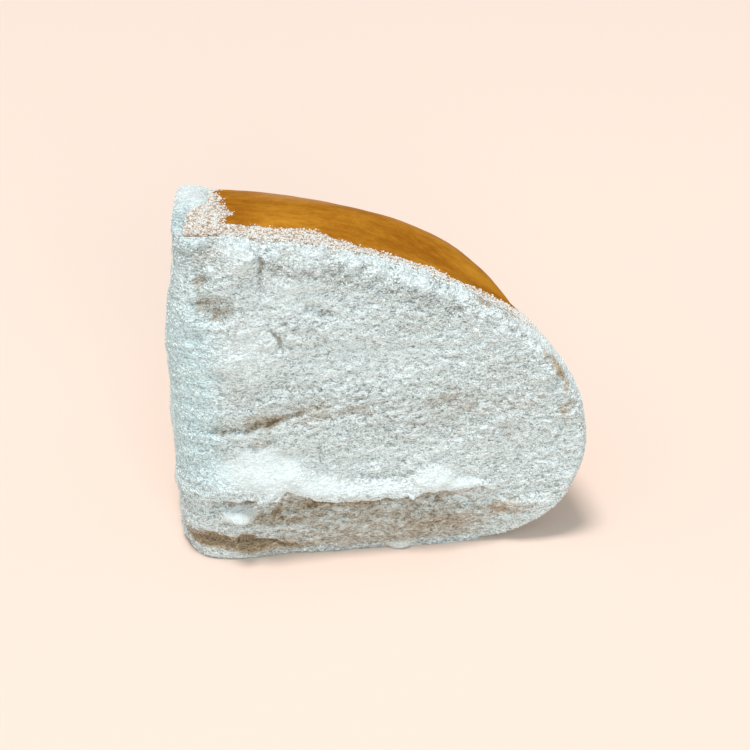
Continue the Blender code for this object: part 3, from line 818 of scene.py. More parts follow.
# Noises over the cream: the size of their largest lumps in millimetres, octaves, and seed
NOISES = {
    "swell": (13, 3, 0.0),
    "wobble": (4.5, 2, 9.0),  # moves the reliefs' heights
    "bend": (3.5, 3, 15.0),  # moves their runs
    "stray": (2.6, 3, 18.0),  # moves the outlines of the spots
    "patches": (7, 3, 5.3),
    "smears": ((22, 22, 4.5), 3, 1.7),
    "grit": ((1.5, 1.5, 0.9), 3, 6.0),
    "clumps": ((3.6, 3.6, 2.4), 2, 8.0),
    "streaks": ((1.6, 1.6, 16), 2, 21.0),
    "fluff": ((3.4, 3.4, 2.2), 4, 31.0),
    "scallops": (4.2, 3, 12.0),
    "rim clumps": (2.2, 3, 41.0),
    "rim crack": (1.6, 2, 44.0),
}

# The cream's edge laps over the crust: (run along the path, width, rise)
EDGE_LAP = [
    (-90, 0.8, 0.2), (-56, 2.6, 0.9), (-38, 6.0, -0.7), (-23, 5.8, -0.7), (-16, 2.2, 0.2),
    (-8, 1.7, 0.3), (0, 1.7, 0.4), (12, 1.4, 0.7), (50, 1.2, 0.7), (58, 0.8, 0.3), (90, 0.6, 0.1),
]


def crust_outward(loaf, run, height):
    """The crust's outward direction in the plane of a cut face, as (run, height)."""
    dome_rise = np.clip((height - loaf.widest_height) / (loaf.height - loaf.widest_height), 0, 1)
    dome_run = np.clip(run / loaf.radius, 0, 1)
    depth = loaf.radius - loaf.base_radius
    foot_run = np.clip((run - loaf.base_radius) / depth, 0, 1)
    foot_fall = np.clip(1 - height / loaf.widest_height, 0, 1)
    low = height < loaf.widest_height
    foot_across = foot_run ** (FOOT_POWER - 1) / depth
    dome_across = DOME_RUN_POWER * dome_run ** (DOME_RUN_POWER - 1) / loaf.radius
    across = np.where(low, foot_across, dome_across)
    fall = -(foot_fall ** (FOOT_POWER - 1)) / loaf.widest_height
    rise = DOME_RISE_POWER * dome_rise ** (DOME_RISE_POWER - 1) / (loaf.height - loaf.widest_height)
    found = np.stack([across, np.where(low, fall, rise)], axis=-1)
    return found / np.maximum(np.linalg.norm(found, axis=-1, keepdims=True), 1e-9)


def face_grid(loaf, columns):
    """Places (run, height) over one cut face, blended from its four sides. Row 0 is at the base and
    column 0 is beside the sharp edge."""
    start = loaf.edge_radius
    top = np.stack([np.linspace(start, RIM_TOP_RUN, columns + 1)] * 2, axis=1)
    top[:, 1] = dome_height(loaf, top[:, 0])
    bottom = evenly(np.array([(start, CREAM_FOOT), (loaf.base_radius, CREAM_FOOT)]), columns)
    near = evenly(np.array([(start, CREAM_FOOT), top[0]]), CREAM_ROWS)
    rim = np.vstack([foot_line(loaf, 120)[::-1], dome_line(loaf, RIM_TOP_RUN, loaf.radius, 120)[-2::-1]])
    rim[:, 1] = np.maximum(rim[:, 1], CREAM_FOOT)
    rim = evenly(rim, CREAM_ROWS)
    u = np.linspace(0, 1, columns + 1)[None, :, None]
    v = np.linspace(0, 1, CREAM_ROWS + 1)[:, None, None]
    sides = (1 - v) * bottom + v * top + (1 - u) * near[:, None] + u * rim[:, None]
    low = (1 - u) * bottom[0] + u * bottom[-1]
    high = (1 - u) * top[0] + u * top[-1]
    return sides - (1 - v) * low - v * high


def cream_sheet(loaf, cream):
    """The cream's inner side, from the left rim round the sharp edge to the front rim: each place, its
    outward direction, its direction of growing run, and its run along the path."""
    front = face_grid(loaf, FRONT_COLUMNS)
    left = face_grid(loaf, LEFT_COLUMNS)[:, :0:-1]
    turns = np.linspace(0, 1, CORNER_COLUMNS + 1)
    angles = pi + turns * pi / 2
    bend = loaf.edge_radius + cream.gap
    rows = len(front)
    corner_height = np.repeat(front[:, :1, 1], CORNER_COLUMNS + 1, axis=1)
    height = np.concatenate([left[..., 1], corner_height, front[:, 1:, 1]], axis=1)
    corner_run = np.repeat((2 * turns - 1)[None] * loaf.edge_radius, rows, axis=0)
    run = np.concatenate([-left[..., 0], corner_run, front[:, 1:, 0]], axis=1)
    columns = run.shape[1]
    outward = np.zeros((rows, columns, 3))
    outward[:, :LEFT_COLUMNS] = (-1, 0, 0)
    outward[:, -FRONT_COLUMNS:] = (0, -1, 0)
    corner = slice(LEFT_COLUMNS, LEFT_COLUMNS + CORNER_COLUMNS + 1)
    outward[:, corner, 0] = np.cos(angles)
    outward[:, corner, 1] = np.sin(angles)
    places = np.zeros((rows, columns, 3))
    places[..., 2] = height
    places[:, :LEFT_COLUMNS, 0] = -cream.gap
    places[:, :LEFT_COLUMNS, 1] = left[..., 0] * squeeze(90)
    places[:, -FRONT_COLUMNS:, 0] = front[:, 1:, 0] * squeeze(0)
    places[:, -FRONT_COLUMNS:, 1] = -cream.gap
    places[:, corner, 0] = loaf.edge_radius + bend * np.cos(angles)
    places[:, corner, 1] = loaf.edge_radius + bend * np.sin(angles)
    growing = np.zeros((rows, columns, 3))
    growing[:, :LEFT_COLUMNS] = (0, 1, 0)
    growing[:, -FRONT_COLUMNS:] = (1, 0, 0)
    return places, outward, growing, run


def ledge(path, run, height):
    """A roll of cream with a round back and a sharp lip that overhangs. Also the painted shadow under it,
    which darkens the cream's colour below the lip."""
    lip, top, proud, inside = along(path, run)
    ragged = np.sin(run / (0.9 * MM)) * np.sin(run / (2.3 * MM) + 1.0)
    lip = lip + LIP_RAGGED * ragged
    share = (height - lip) / (top - lip)
    back = np.clip((share - LEDGE_CREST) / (1 - LEDGE_CREST), 0, 1)
    belly = np.clip((LEDGE_CREST - share) / LEDGE_CREST, 0, 1)
    roll = proud * np.where(share > LEDGE_CREST, (1 - back**2) ** 1.5, 1 - 0.22 * belly**2)
    roll = inside * roll * smooth_step(-LIP_DROP, 0.0, height - lip)
    below = np.clip(lip - height, 0, None)
    depth = inside * np.clip(proud / (2 * MM), 0, 1.2)
    under = depth * (1 - ramp(-2.6, 0, height - lip)) * ramp(8, 2.6, below)
    # painted shadow below the lip
    shade = 0.50 * np.exp(-below / (1.1 * MM)) + 0.22 * np.exp(-below / (4 * MM))
    return roll, under, depth * shade * (height < lip)


def furrow(path, run, height, below, above):
    """A groove with a lower and an upper side of these widths. Also its depth along its line alone."""
    line, depth, inside = along(path, run)
    lower = smooth_step(line - below, line, height)
    upper = 1 - smooth_step(line, line + above, height)
    near = bell(height - line, 0.35 * MM + 0.16 * above)
    return inside * depth * np.where(height < line, lower, upper), inside * depth * near


def seam(path, run, height):
    """A narrow groove up a face."""
    line, depth, inside = along(path, height)
    return inside * depth * bell(run - line, SEAM_WIDTH)


def relief(ledges, furrows, cracks, seams, lumps, run, height, exact):
    """How far the cream of one face stands out, how far it droops, and how much its colour darkens, with
    moist cream and with painted shade under the ledges and along the furrows, cracks and seams. The sharp
    cracks lie at the exact places, and the rest at the bent ones."""
    stands_out, droop, bare_and_shade = np.zeros((3, *run.shape))
    broken = np.clip(1 + np.sin(run / (1.1 * MM)) * np.sin(run / (2.9 * MM) + 2.0), 0.2, None)
    for path in ledges:
        roll, under, shade = ledge(path, run, height)
        stands_out += roll - UNDERCUT * under
        droop += LEDGE_SAG * roll
        # the ledge's painted shadow darkens the colour
        bare_and_shade += shade
    for path in furrows:
        depth, line = furrow(path, run, height, *FURROW_SIDES)
        stands_out -= depth
        bare_and_shade += FURROW_BARE_AND_SHADE * broken * line / MM
    for path in cracks:
        depth, line = furrow(path, *exact, *CRACK_SIDES)
        stands_out -= depth
        bare_and_shade += CRACK_BARE_AND_SHADE * broken * line / MM
    for path in seams:
        depth = seam(path, run, height)
        stands_out -= depth
        bare_and_shade += SEAM_SHADE * depth / MM
    for spec in lumps:
        stands_out += spot(spec, run, height) * MM
    return stands_out, droop, bare_and_shade


class Sheet:
    """The cream's inner side, with what is known at each of its places: the outward direction, the
    direction of growing run, the run along the path, the distance to the crust's edge, how much the
    place belongs to the front face, the left face and the sharp edge, and where noise moves it."""

    def __init__(self, loaf, cream):
        self.inner, self.outward, self.growing, self.path = cream_sheet(loaf, cream)
        self.height = self.inner[..., 2]
        self.run = np.abs(self.path)
        self.to_edge = np.full_like(self.run, loaf.radius)
        for run, height in np.vstack([dome_line(loaf, 0, loaf.radius, 700), foot_line(loaf, 300)[1:]]):
            self.to_edge = np.minimum(self.to_edge, np.hypot(self.run - run, self.height - height))
        self.front = ramp(-6, 6, self.path)
        self.left = 1 - self.front
        self.corner = 1 - ramp(2, 14, self.run)
        self.wobble = WOBBLE * self.noise("wobble")
        self.wobbled = self.height + self.wobble
        self.bent_run = self.run + BEND * self.noise("bend")
        self.stray = STRAY * self.noise("stray")
        self.patchy = 0.5 + 0.5 * self.noise("patches")
        self.index = np.arange(self.run.size).reshape(self.run.shape)
        self.rim = np.r_[self.index[:, 0], self.index[-1, 1:], self.index[-2::-1, -1]]

    def noise(self, name):
        wave, octaves, seed = NOISES[name]
        return fractal(self.inner, np.array(wave) * MM, octaves, seed)

    def at_rim(self, values):
        """A field's values up the left side, along the top and down the right side."""
        return values.reshape(-1, *values.shape[2:])[self.rim]


def rim_marks(sheet):
    """Along the crust's edge: where the powder is smooth low on the front, the clumps, and the crack."""
    at_edge = bell(sheet.to_edge, 0.5 * MM)
    smooth = at_edge * ramp(60, 68, sheet.run)
    clump = sum(
        rise * MM * np.clip(1 - ((sheet.run - centre * MM) / (width * MM)) ** 2, 0, None)
        for centre, width, rise in RIM_CLUMPS
    )
    clump = clump * sheet.front * bell(sheet.to_edge, 2.2 * MM) * ramp(50, 56, sheet.height)
    clump = clump * np.clip(0.9 + 2.2 * sheet.noise("rim clumps"), 0, 1.6)
    crack = at_edge * sheet.front * ramp(30, 40, sheet.height)
    crack = crack * bell(sheet.run - RIM_CRACK[0], RIM_CRACK[1], 4)
    crack = 0.55 * crack * np.clip(0.8 + sheet.noise("rim crack"), 0, 1.2)
    return smooth, clump, crack


def left_limit(path, height):
    """How far the cream may stand out on the left face."""
    far = np.clip(-path, 0, None)
    return along(LEFT_LIMIT, height + LIMIT_FALL * far)[0] + LIMIT_SPREAD * far


def cream_body(sheet, cream):
    """The cream's thickness without its grain, how far it droops, and how much its reliefs darken its
    colour, with moist cream and painted shade.
    """
    front, left = sheet.front, sheet.left
    exact = (sheet.run, sheet.height + 0.15 * sheet.wobble)
    front_out, front_droop, front_bare_and_shade = relief(*FRONT_FACE, sheet.bent_run, sheet.wobbled, exact)
    left_out, left_droop, left_bare_and_shade = relief(*LEFT_FACE, sheet.bent_run, sheet.wobbled, exact)
    limit = left_limit(sheet.path, sheet.height)
    body = limit - LIMIT_MARGIN * ramp(4, 15, sheet.run)
    body = np.minimum(body, cream.left_thickness + LIMIT_MARGIN)
    left_thickness = no_more(body + left_out, limit, LIMIT_EASE)
    thickness = (cream.thickness + front_out) * front + left_thickness * left
    return thickness, front * front_droop + left * left_droop, front * front_bare_and_shade + left * left_bare_and_shade


def add_spots(sheet, bare_and_shade, smooth, crack):
    """How much the cream's colour darkens with the crack and with the spots of moist cream and painted
    shade, and without the smooth part of the rim.
    """
    place = (sheet.bent_run + sheet.stray, sheet.wobbled + 0.6 * sheet.stray)
    bare_and_shade = bare_and_shade + crack + sheet.front * spots(FRONT_BARE_AND_SHADE, *place, 1.2)
    return (bare_and_shade + sheet.left * spots(LEFT_BARE_AND_SHADE, *place, 1.2)) * (1 - smooth)


def cream_calm(sheet, smooth, clump):
    """How smooth the powder lies."""
    front, left = sheet.front, sheet.left
    place = (sheet.bent_run + 2.4 * sheet.stray, sheet.wobbled + 1.2 * sheet.stray)
    calm = front * spots(FRONT_CALM, sheet.run, sheet.wobbled, 1.1)
    calm = calm + left * spots(LEFT_CALM, *place, 1.1)
    calm = np.clip(calm + 0.25 * sheet.patchy - 0.08, 0, 1)
    calm = np.clip(calm + 0.45 * sheet.corner * left * ramp(10, 30, sheet.height), 0, 1)
    calm = np.clip(calm + 0.28 * left + 0.16 * front * ramp(46, 62, sheet.run), 0, 1)
    return np.maximum(np.maximum(calm, smooth), 0.7 * np.clip(clump / (0.7 * MM), 0, 1))


def add_grain(sheet, cream, thickness, calm, rough):
    """The thickness with its smears, clumps, crumbs and grit, and the streaks on the sharp edge."""
    smears = sheet.noise("smears")
    clumps = sheet.noise("clumps")
    moved = sheet.inner + SMEAR_SHIFT * smears[..., None]
    crumbs = granules(moved, np.array(CRUMB_SIZES) * MM, seed=3.0)
    fine = cream.lump_height * (0.45 * crumbs + 0.75 * sheet.noise("grit")) + CLUMP_HEIGHT * clumps
    at_corner = (1 - ramp(2, 5, sheet.run)) * ramp(20, 40, sheet.height)
    thickness = thickness + CREAM_SWELL * sheet.noise("swell") + SMEAR_HEIGHT * smears
    thickness = thickness + (fine * rough + CALM_CLUMP_HEIGHT * clumps * calm)
    return thickness + STREAK_HEIGHT * sheet.noise("streaks") * at_corner


def round_off(sheet, thickness, clump):
    """The thickness, less at the base and at the sharp edge, and rounded off towards the crust, where
    loose clumps stand out."""
    thickness = thickness * (1 - 0.32 * sheet.front * (1 - ramp(0, 7, sheet.height)))
    thickness = thickness * (1 - 0.16 * (1 - ramp(0, 9, sheet.run)) ** 2)
    on_left = np.clip(sheet.left + sheet.corner, 0, 1)
    near_top = ramp(40, 62, sheet.height)
    left_rounding = LEFT_ROUNDING[0] + (LEFT_ROUNDING[1] - LEFT_ROUNDING[0]) * near_top
    rounding = on_left * left_rounding + (1 - on_left) * FRONT_ROUNDING
    near = 1 - np.clip(sheet.to_edge / rounding, 0, 1)
    shoulder = (1 - near ** (2 - 0.7 * on_left * near_top)) ** (0.5 + 0.5 * on_left * near_top)
    thickness = EDGE_THICKNESS + np.clip(thickness - EDGE_THICKNESS, 0, None) * shoulder
    at_rim = bell(sheet.to_edge - 1.6 * MM, 1.8 * MM) * ramp(20, 34, sheet.height)
    fluff = np.clip(sheet.noise("fluff") + 0.15, -0.5, 1.0) * (0.4 + 0.6 * sheet.front)
    return thickness + (RIM_FLUFF * at_rim * fluff + 0.5 * clump)


def face_looks(sheet, thickness, rough, bare_and_shade, clump):
    """Painted light and shade over the cream: the groove field, darker in grooves, along the front's top
    rim and on the sharp edge, lighter on bumps and on the left face; the hollow field, with painted shade
    in hollows and moist cream; and the painted cool light.
    """
    run, height, left = sheet.run, sheet.height, sheet.left
    # cavities, from the thickness against its blur, for painted shade
    thick = blur(thickness, 3) - thickness
    broad = blur(thickness, 13) - thickness
    inside = ramp(0.6, 3, sheet.to_edge)
    # painted shade in grooves and painted highlight on bumps, and painted light on the left face
    groove = np.clip(thick / (0.30 * MM), -0.8, 1) * rough * inside - 0.6 * left * (1 - sheet.corner)
    # painted shade high on the sharp edge, and darker low on it
    groove += 1.3 * sheet.corner * left * ramp(50, 60, height)
    groove += 0.5 * sheet.corner * left * ramp(40, 20, height)
    # painted shade in grooves and broad hollows, on top of the spots' moist cream and painted shade
    hollow = (0.10 * groove + 0.14 * np.clip(broad / (1.2 * MM), -0.7, 1)) * inside + bare_and_shade
    # lighter on the rim's clumps, and painted light on the left face
    hollow = hollow - 0.16 * np.clip(clump / (0.5 * MM), 0, 1) - 0.16 * left
    # painted shade along the front face's top rim
    top_rim = sheet.front * ramp(6.5, 2.5, sheet.to_edge) * ramp(60, 50, run)
    groove += 0.7 * top_rim
    hollow += 0.14 * top_rim
    # painted cool light beside the sharp edge, weaker up high and out on the left face
    cool = ramp(9, 1, sheet.path) * ramp(12, 24, height)
    cool = cool * (1 - 0.5 * ramp(52, 64, height)) * (0.15 + 0.85 * ramp(-22, -6, sheet.path))
    return groove, hollow, cool


def edge_looks(sheet, hollow, cool, clump, crack, lap):
    """The attributes of the rolled edge, for all of its rings or one row for each."""
    share = np.arange(1, EDGE_STEPS + 1)[:, None] / EDGE_STEPS
    front, run = sheet.at_rim(sheet.front), sheet.at_rim(sheet.run)
    high = ramp(40, 54, sheet.at_rim(sheet.height))
    loose_from = 0.38 * ramp(35, 42, run) - 0.25 + 0.4 * sheet.at_rim(clump) / MM
    dust = high * front * smooth_step(loose_from, loose_from + 0.3, share)
    shady = (1 - front) * ramp(26, 7, run) * high
    # the wide lap's cap takes painted shade
    cap = wide_lap(lap) * (1 - front)
    # painted shade from the face's hollows, and the crack's line
    rim_shade_and_crack = 0.25 * sheet.at_rim(hollow) * (1 - dust) + sheet.at_rim(crack) * bell(share, 0.2)
    return {
        "hollow": rim_shade_and_crack + 0.10 * cap,
        # painted shade on the cap and on its shady side, painted light on the rest of the left rim
        "groove": 2.6 * shady - 1.5 * (1 - front) * (1 - shady) + 0.9 * cap,
        "calm": 0.2 + (1 - dust) * (0.6 - 0.3 * shady),
        # painted cool light, strongest on the cap's shady side
        "cool": np.maximum(0.2 * sheet.at_rim(cool), 0.8 * shady),
        "dust": dust,
        "powder": 0.3 * (1 - dust),
    }


def wide_lap(lap):
    """1 where the cream laps far over the crust."""
    return ramp(2.4, 5.4, lap)


def rolled_edge(sheet, thickness, rise, lap, spread):
    """Rings of places that roll the cream over the crust's edge, from its face to its back."""
    inner, outward, spread = (sheet.at_rim(field) for field in (sheet.inner, sheet.outward, spread))
    start, rise = sheet.at_rim(thickness), sheet.at_rim(rise)
    arch_power = 1 + 0.3 * wide_lap(lap)
    rings = []
    for step in range(1, EDGE_STEPS + 1):
        angle = pi * step / EDGE_STEPS
        offset = (start - lap) / 2 + (start + lap) / 2 * np.cos(angle)
        lifted = rise * (1 - step / EDGE_STEPS) - EDGE_SINK * step / EDGE_STEPS
        lifted = lifted + EDGE_ARCH * (start + lap) / 2 * np.sin(angle) ** arch_power
        ring = inner + outward * offset[:, None] + spread * lifted[:, None]
        crumbs = fractal(ring, 1.2 * MM, 3, seed=2.2)[:, None]
        rings.append(ring + EDGE_CRUMBS * np.sin(angle) * crumbs * UP)
    return rings


def cream_faces(index, rim):
    """Quads over the cream's face, round its rolled edge and along the base, and its closed back. The
    places are numbered face first, then the rings of the edge, then the base between its ends."""
    rings = np.vstack([rim, index.size + np.arange(EDGE_STEPS * len(rim)).reshape(EDGE_STEPS, -1)])
    last = rings[-1]
    inner_base = last[-1] + 1 + np.arange(index.shape[1] - 2)
    base = np.r_[last[0], inner_base, last[-1]]
    faces = grid_faces(index) + grid_faces(rings) + grid_faces(np.stack([index[0], base]))
    faces += [rings[:, 0].tolist(), rings[:, -1].tolist()]
    first, final = LEFT_COLUMNS, LEFT_COLUMNS + CORNER_COLUMNS
    top = len(index) - 1
    faces += grid_faces(np.stack([base[first : final + 1], last[top + first : top + final + 1]]))
    faces.append(np.r_[last[: top + first + 1], base[first:0:-1]].tolist())
    faces.append(np.r_[last[top + final :], base[-2 : final - 1 : -1]].tolist())
    return faces


def cream_mesh(loaf, cream):
    """The cream's whole coat: the sheet pushed out by its thickness, rolled over the crust's edge and
    closed behind."""
    sheet = Sheet(loaf, cream)
    smooth, clump, crack = rim_marks(sheet)
    thickness, droop, bare_and_shade = cream_body(sheet, cream)
    bare_and_shade = add_spots(sheet, bare_and_shade, smooth, crack)
    calm = cream_calm(sheet, smooth, clump)
    rough = 1 - 0.65 * calm + 0.5 * np.clip(bare_and_shade, 0, 1)
    thickness = add_grain(sheet, cream, thickness, calm, rough)
    thickness = round_off(sheet, thickness, clump)

    lap_width, lap_rise, _ = along(EDGE_LAP, sheet.path)
    scallop = np.clip(1 + 1.3 * sheet.noise("scallops"), 0, None)
    rise = lap_rise * scallop * (1 - ramp(0, 4, sheet.to_edge)) * ramp(0, 10, sheet.height)
    rise += 0.5 * clump
    in_plane = crust_outward(loaf, sheet.run, sheet.height)
    spread = in_plane[..., :1] * sheet.growing + in_plane[..., 1:] * UP
    outer = sheet.inner + sheet.outward * thickness[..., None] + spread * rise[..., None]
    outer = outer - UP * droop[..., None]
    lap = sheet.at_rim(lap_width)
    rings = rolled_edge(sheet, thickness, rise, lap, spread)
    base = (sheet.inner - sheet.outward * np.abs(lap_width)[..., None])[0, 1:-1]
    places = np.vstack([outer.reshape(-1, 3), *rings, base])

    groove, hollow, cool = face_looks(sheet, thickness, rough, bare_and_shade, clump)
    powder = (1 - 0.65 * calm) * (0.35 + 0.65 * sheet.patchy) * np.clip(1 - 2.2 * bare_and_shade, 0, 1)
    on_face = {"hollow": hollow, "groove": groove, "calm": calm, "cool": cool}
    on_face.update({"dust": np.zeros_like(calm), "powder": powder})
    on_base = np.zeros(len(base))
    attributes = {}
    for name, values in edge_looks(sheet, hollow, cool, clump, crack, lap).items():
        on_edge = np.broadcast_to(values, (EDGE_STEPS, len(lap)))
        attributes[name] = np.r_[on_face[name].ravel(), on_edge.ravel(), on_base]
    attributes["powder"] *= places[:, 2] > POWDER_FOOT
    places[:, 2] = np.maximum(places[:, 2], CREAM_LOWEST)
    return new_mesh("cream_cheese", places, cream_faces(sheet.index, sheet.rim), attributes)


# Loose powder

GRAIN_LEAST = (0.65, 0.65, 0.55)  # how much narrower and lower than a ball a grain may be
GRAIN_MOST = (1.25, 1.25, 1.0)
GRAIN_SIZES = 2.2  # more than 1 makes most of the grains small
CRUMPLE_WAVE = 0.5 * MM
CRUMPLE = 0.28 * MM
CRUST_SIDES = 5  # of a grain on the crust and the rim
CREAM_SIDES = 4


def new_input(group, name, kind, default=None):
    made = group.interface.new_socket(name=name, in_out="INPUT", socket_type=kind)
    if default is not None:
        made.default_value = default
    return made


def strewn_grains():
    """A node group that strews grains over a surface, as thickly as its powder attribute says."""
    group = bpy.data.node_groups.new("strewn_grains", "GeometryNodeTree")
    group.interface.new_socket(name="Geometry", in_out="OUTPUT", socket_type="NodeSocketGeometry")
    new_input(group, "Geometry", "NodeSocketGeometry")
    new_input(group, "Density", "NodeSocketFloat", 1e6)
    new_input(group, "Smallest", "NodeSocketFloat", 0.1 * MM)
    new_input(group, "Largest", "NodeSocketFloat", 0.4 * MM)
    new_input(group, "Sides", "NodeSocketInt", 5)
    new_input(group, "Seed", "NodeSocketInt", 1)
    new_input(group, "Material", "NodeSocketMaterial")
    tree = Tree(group)
    given = tree.node("NodeGroupInput", output="Geometry")
    powder = tree.node("GeometryNodeInputNamedAttribute", {"data_type": "FLOAT"}, {"Name": "powder"})
    seed = given.also("Seed")
    spread = {"Mesh": given, "Density": powder * given.also("Density"), "Seed": seed}
    points = tree.node("GeometryNodeDistributePointsOnFaces", {"distribute_method": "RANDOM"}, spread)
    ball = {"Radius": 1.0, "Segments": given.also("Sides"), "Rings": 2}
    grain = tree.node("GeometryNodeMeshUVSphere", {}, ball)
    even = tree.node("FunctionNodeRandomValue", {"data_type": "FLOAT"}, {"Seed": seed + 1}, output=1)
    smallest = given.also("Smallest")
    size = smallest + (given.also("Largest") - smallest) * even**GRAIN_SIZES
    squeeze = tree.random_vector(GRAIN_LEAST, GRAIN_MOST, seed + 2)
    scale = tree.vector("SCALE", {0: squeeze, "Scale": size})
    turn = tree.random_vector((0.0, 0.0, 0.0), (2 * pi, 2 * pi, 2 * pi), seed + 3)
    placed = {"Points": points, "Instance": grain, "Rotation": turn, "Scale": scale}
    grains = tree.node("GeometryNodeInstanceOnPoints", {}, placed)
    solid = tree.node("GeometryNodeRealizeInstances", {}, {"Geometry": grains})
    place = tree.node("GeometryNodeInputPosition")
    texture = {"Vector": place, "Scale": 1 / CRUMPLE_WAVE}
    rough = tree.node("ShaderNodeTexNoise", {}, texture, output="Color")
    centred = tree.vector("SUBTRACT", {0: rough, 1: (0.5, 0.5, 0.5)})
    shift = tree.vector("SCALE", {0: centred, "Scale": CRUMPLE})
    crumpled = tree.node("GeometryNodeSetPosition", {}, {"Geometry": solid, "Offset": shift})
    coloured = {"Geometry": crumpled, "Material": given.also("Material")}
    finished = tree.node("GeometryNodeSetMaterial", {}, coloured)
    tree.node("NodeGroupOutput", {}, {"Geometry": finished})
    return group


def open_crust(mesh):
    """A copy of the round crust alone. The base and the cut faces, which no powder reaches, all have a
    corner on the floor."""
    shape = bmesh.new()
    shape.from_mesh(mesh)
    low = [vertex for vertex in shape.verts if vertex.co.z < 0.1 * MM]
    bmesh.ops.delete(shape, geom=low, context="VERTS")
    made = bpy.data.meshes.new("open_crust")
    shape.to_mesh(made)
    shape.free()
    made.attributes["dust"].name = "powder"
    return made


def strew(name, surface, density, sides, powder, seed, material):
    """A piece of loose grains over a copy of the surface."""
    carrier = new_object(name, surface.copy())
    strewing = carrier.modifiers.new("grains", "NODES")
    strewing.node_group = bpy.data.node_groups.get("strewn_grains") or strewn_grains()
    given = {
        "Density": density,
        "Smallest": powder.smallest,
        "Largest": powder.largest,
        "Sides": sides,
        "Seed": seed,
        "Material": material,
    }
    for item in strewing.node_group.interface.items_tree:
        if item.in_out == "INPUT" and item.name in given:
            strewing[item.identifier] = given[item.name]
    graph = bpy.context.evaluated_depsgraph_get()
    mesh = bpy.data.meshes.new_from_object(carrier.evaluated_get(graph))
    bpy.data.objects.remove(carrier)
    mesh.name = name
    clamp_to_box(mesh)
    return add_piece(name, mesh, material)


def clamp_to_box(mesh):
    """Keeps a mesh inside the solids' box, whose outer layer of grains would otherwise pass it."""
    places = np.zeros(len(mesh.vertices) * 3, np.float32)
    mesh.vertices.foreach_get("co", places)
    low, high = (np.array(corner, np.float32) for corner in CAD_BOUNDS)
    kept = np.clip(places.reshape(-1, 3), low, high)
    mesh.vertices.foreach_set("co", kept.ravel())
    mesh.update()


# Operators


class BUN_OT_bread(bpy.types.Operator):
    """Make the quarter loaf with its crust"""

    bl_idname = "bun.bread"
    bl_label = "Bread"

    def execute(self, context):
        loaf, cream = context.scene.bun_loaf, context.scene.bun_cream
        mesh = bread_mesh(loaf)
        clamp_to_box(mesh)
        piece = add_piece("bread_crust", mesh, crust_material(loaf, cream))
        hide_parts("bread")
        return {"FINISHED"}


class BUN_OT_cream(bpy.types.Operator):
    """Make the cream cheese on both cut faces"""

    bl_idname = "bun.cream"
    bl_label = "Cream cheese"

    def execute(self, context):
        mesh = cream_mesh(context.scene.bun_loaf, context.scene.bun_cream)
        clamp_to_box(mesh)
        piece = add_piece("cream_cheese", mesh, cream_material(context.scene.bun_cream))
        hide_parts("cream_coat")
        return {"FINISHED"}


class BUN_OT_powder(bpy.types.Operator):
    """Strew loose milk powder over the cream and along the crust's cut edges"""

    bl_idname = "bun.powder"
    bl_label = "Milk powder"

    def execute(self, context):
        powder = context.scene.bun_powder
        cream = context.scene.bun_cream
        crust = open_crust(bpy.data.objects["bread_crust"].data)
        creamy = powder_material("milk_powder", cream.loose)
        strew("crust_powder", crust, powder.crust_density, CRUST_SIDES, powder, powder.seed, creamy)
        surface = bpy.data.objects["cream_cheese"].data
        rim = surface.copy()
        rim.attributes.remove(rim.attributes["powder"])
        rim.attributes["dust"].name = "powder"
        strew("rim_powder", rim, powder.crust_density, CRUST_SIDES, powder, powder.seed + 20, creamy)
        pale = powder_material("pale_powder", cream.white)
        strew("cream_powder", surface, powder.cream_density, CREAM_SIDES, powder, powder.seed + 10, pale)
        return {"FINISHED"}


class BUN_OT_stage(bpy.types.Operator):
    """Make the floor, the light and the camera"""

    bl_idname = "bun.stage"
    bl_label = "Stage"

    def execute(self, context):
        stage = context.scene.bun_stage
        add_floor(stage)
        add_light(stage)
        add_camera(stage)
        return {"FINISHED"}


# The stage

FLOOR_SIDE = 5.0
FLOOR_DROP = 0.02 * MM
AIM = (39.3 * MM, 35.0 * MM, 19.9 * MM)  # from the loaf's axis
LAMP_AIM = (0.0, 0.0, 30 * MM)
KEY_PLACE = (-0.30, -0.40, 3.0)
KEY_SIZE = 0.90
FILL_PLACE = (0.45, -3.80, 1.30)
FILL_SIZE = 2.30


def add_floor(stage):
    mesh = bpy.data.meshes.new("floor")
    half = FLOOR_SIDE / 2
    corners = [(half * x, half * y, -FLOOR_DROP) for x, y in ((-1, -1), (1, -1), (1, 1), (-1, 1))]
    mesh.from_pydata(corners, [], [(0, 1, 2, 3)])
    mesh.materials.append(floor_material(stage))
    new_object("floor", mesh)


def add_lamp(name, place, size, watts, colour):
    data = bpy.data.lights.new(name, "AREA")
    data.shape = "DISK"
    data.size = size
    data.energy = watts
    data.color = colour
    lamp = new_object(name, data)
    lamp.location = place
    lamp.rotation_euler = (Vector(LAMP_AIM) - Vector(place)).to_track_quat("-Z", "Y").to_euler()


def add_light(stage):
    world = bpy.data.worlds.new("soft_light")
    bpy.context.scene.world = world
    world.use_nodes = True
    back = world.node_tree.nodes["Background"]
    back.inputs["Color"].default_value = (*stage.sky, 1.0)
    back.inputs["Strength"].default_value = stage.sky_strength
    add_lamp("key", KEY_PLACE, KEY_SIZE, stage.key_watts, (1.0, 0.94, 0.925))
    add_lamp("fill", FILL_PLACE, FILL_SIZE, stage.fill_watts, (0.85, 0.97, 1.0))


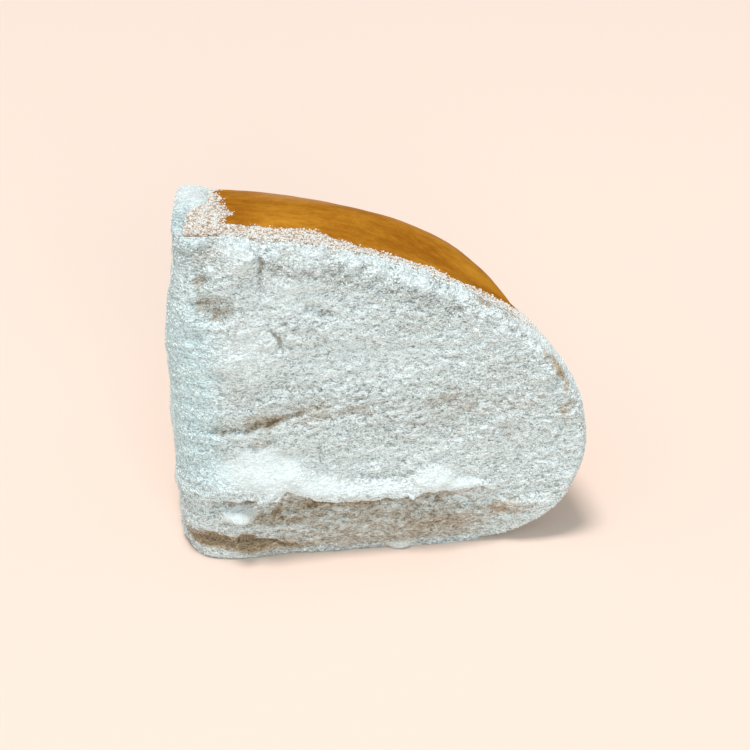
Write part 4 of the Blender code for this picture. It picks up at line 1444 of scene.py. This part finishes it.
def add_camera(stage):
    data = bpy.data.cameras.new("camera")
    data.lens = stage.lens
    data.sensor_width = 36.0
    camera = new_object("camera", data)
    azimuth, level = stage.azimuth, np.cos(stage.elevation)
    back = Vector((np.sin(azimuth) * level, -np.cos(azimuth) * level, np.sin(stage.elevation)))
    turn = (-back).to_track_quat("-Z", "Y").to_matrix() @ Matrix.Rotation(stage.roll, 3, "Z")
    place = Vector(LOAF_AXIS) + Vector(AIM) + back * stage.distance
    camera.matrix_world = Matrix.Translation(place) @ turn.to_4x4()
    data.clip_start, data.clip_end = 0.01, 20.0
    bpy.context.scene.camera = camera
    bpy.context.scene.view_settings.view_transform = "Standard"


# Panel and registration


class BUN_PT_panel(bpy.types.Panel):
    """Lists the bun's settings and the buttons that make its pieces"""

    bl_idname = "BUN_PT_panel"
    bl_label = "Cream Cheese Bun"
    bl_space_type = "VIEW_3D"
    bl_region_type = "UI"
    bl_category = "Cream Bun"

    def draw(self, context):
        for operator, settings in STEPS:
            box = self.layout.box()
            box.operator(operator)
            group = getattr(context.scene, settings)
            for name in group.bl_rna.properties.keys():
                if name not in ("rna_type", "name"):
                    box.prop(group, name)


STEPS = [
    ("bun.bread", "bun_loaf"),
    ("bun.cream", "bun_cream"),
    ("bun.powder", "bun_powder"),
    ("bun.stage", "bun_stage"),
]
SETTINGS = {
    "bun_loaf": BUN_PG_loaf,
    "bun_cream": BUN_PG_cream,
    "bun_powder": BUN_PG_powder,
    "bun_stage": BUN_PG_stage,
}
CLASSES = [*SETTINGS.values(), BUN_OT_bread, BUN_OT_cream, BUN_OT_powder, BUN_OT_stage, BUN_PT_panel]


def register():
    for each in CLASSES:
        bpy.utils.register_class(each)
    for name, settings in SETTINGS.items():
        setattr(bpy.types.Scene, name, PointerProperty(type=settings))


def unregister():
    for name in SETTINGS:
        delattr(bpy.types.Scene, name)
    for each in reversed(CLASSES):
        bpy.utils.unregister_class(each)


def main():
    register()
    bpy.ops.bun.bread()
    bpy.ops.bun.cream()
    bpy.ops.bun.powder()
    bpy.ops.bun.stage()


if __name__ == "__main__":
    main()
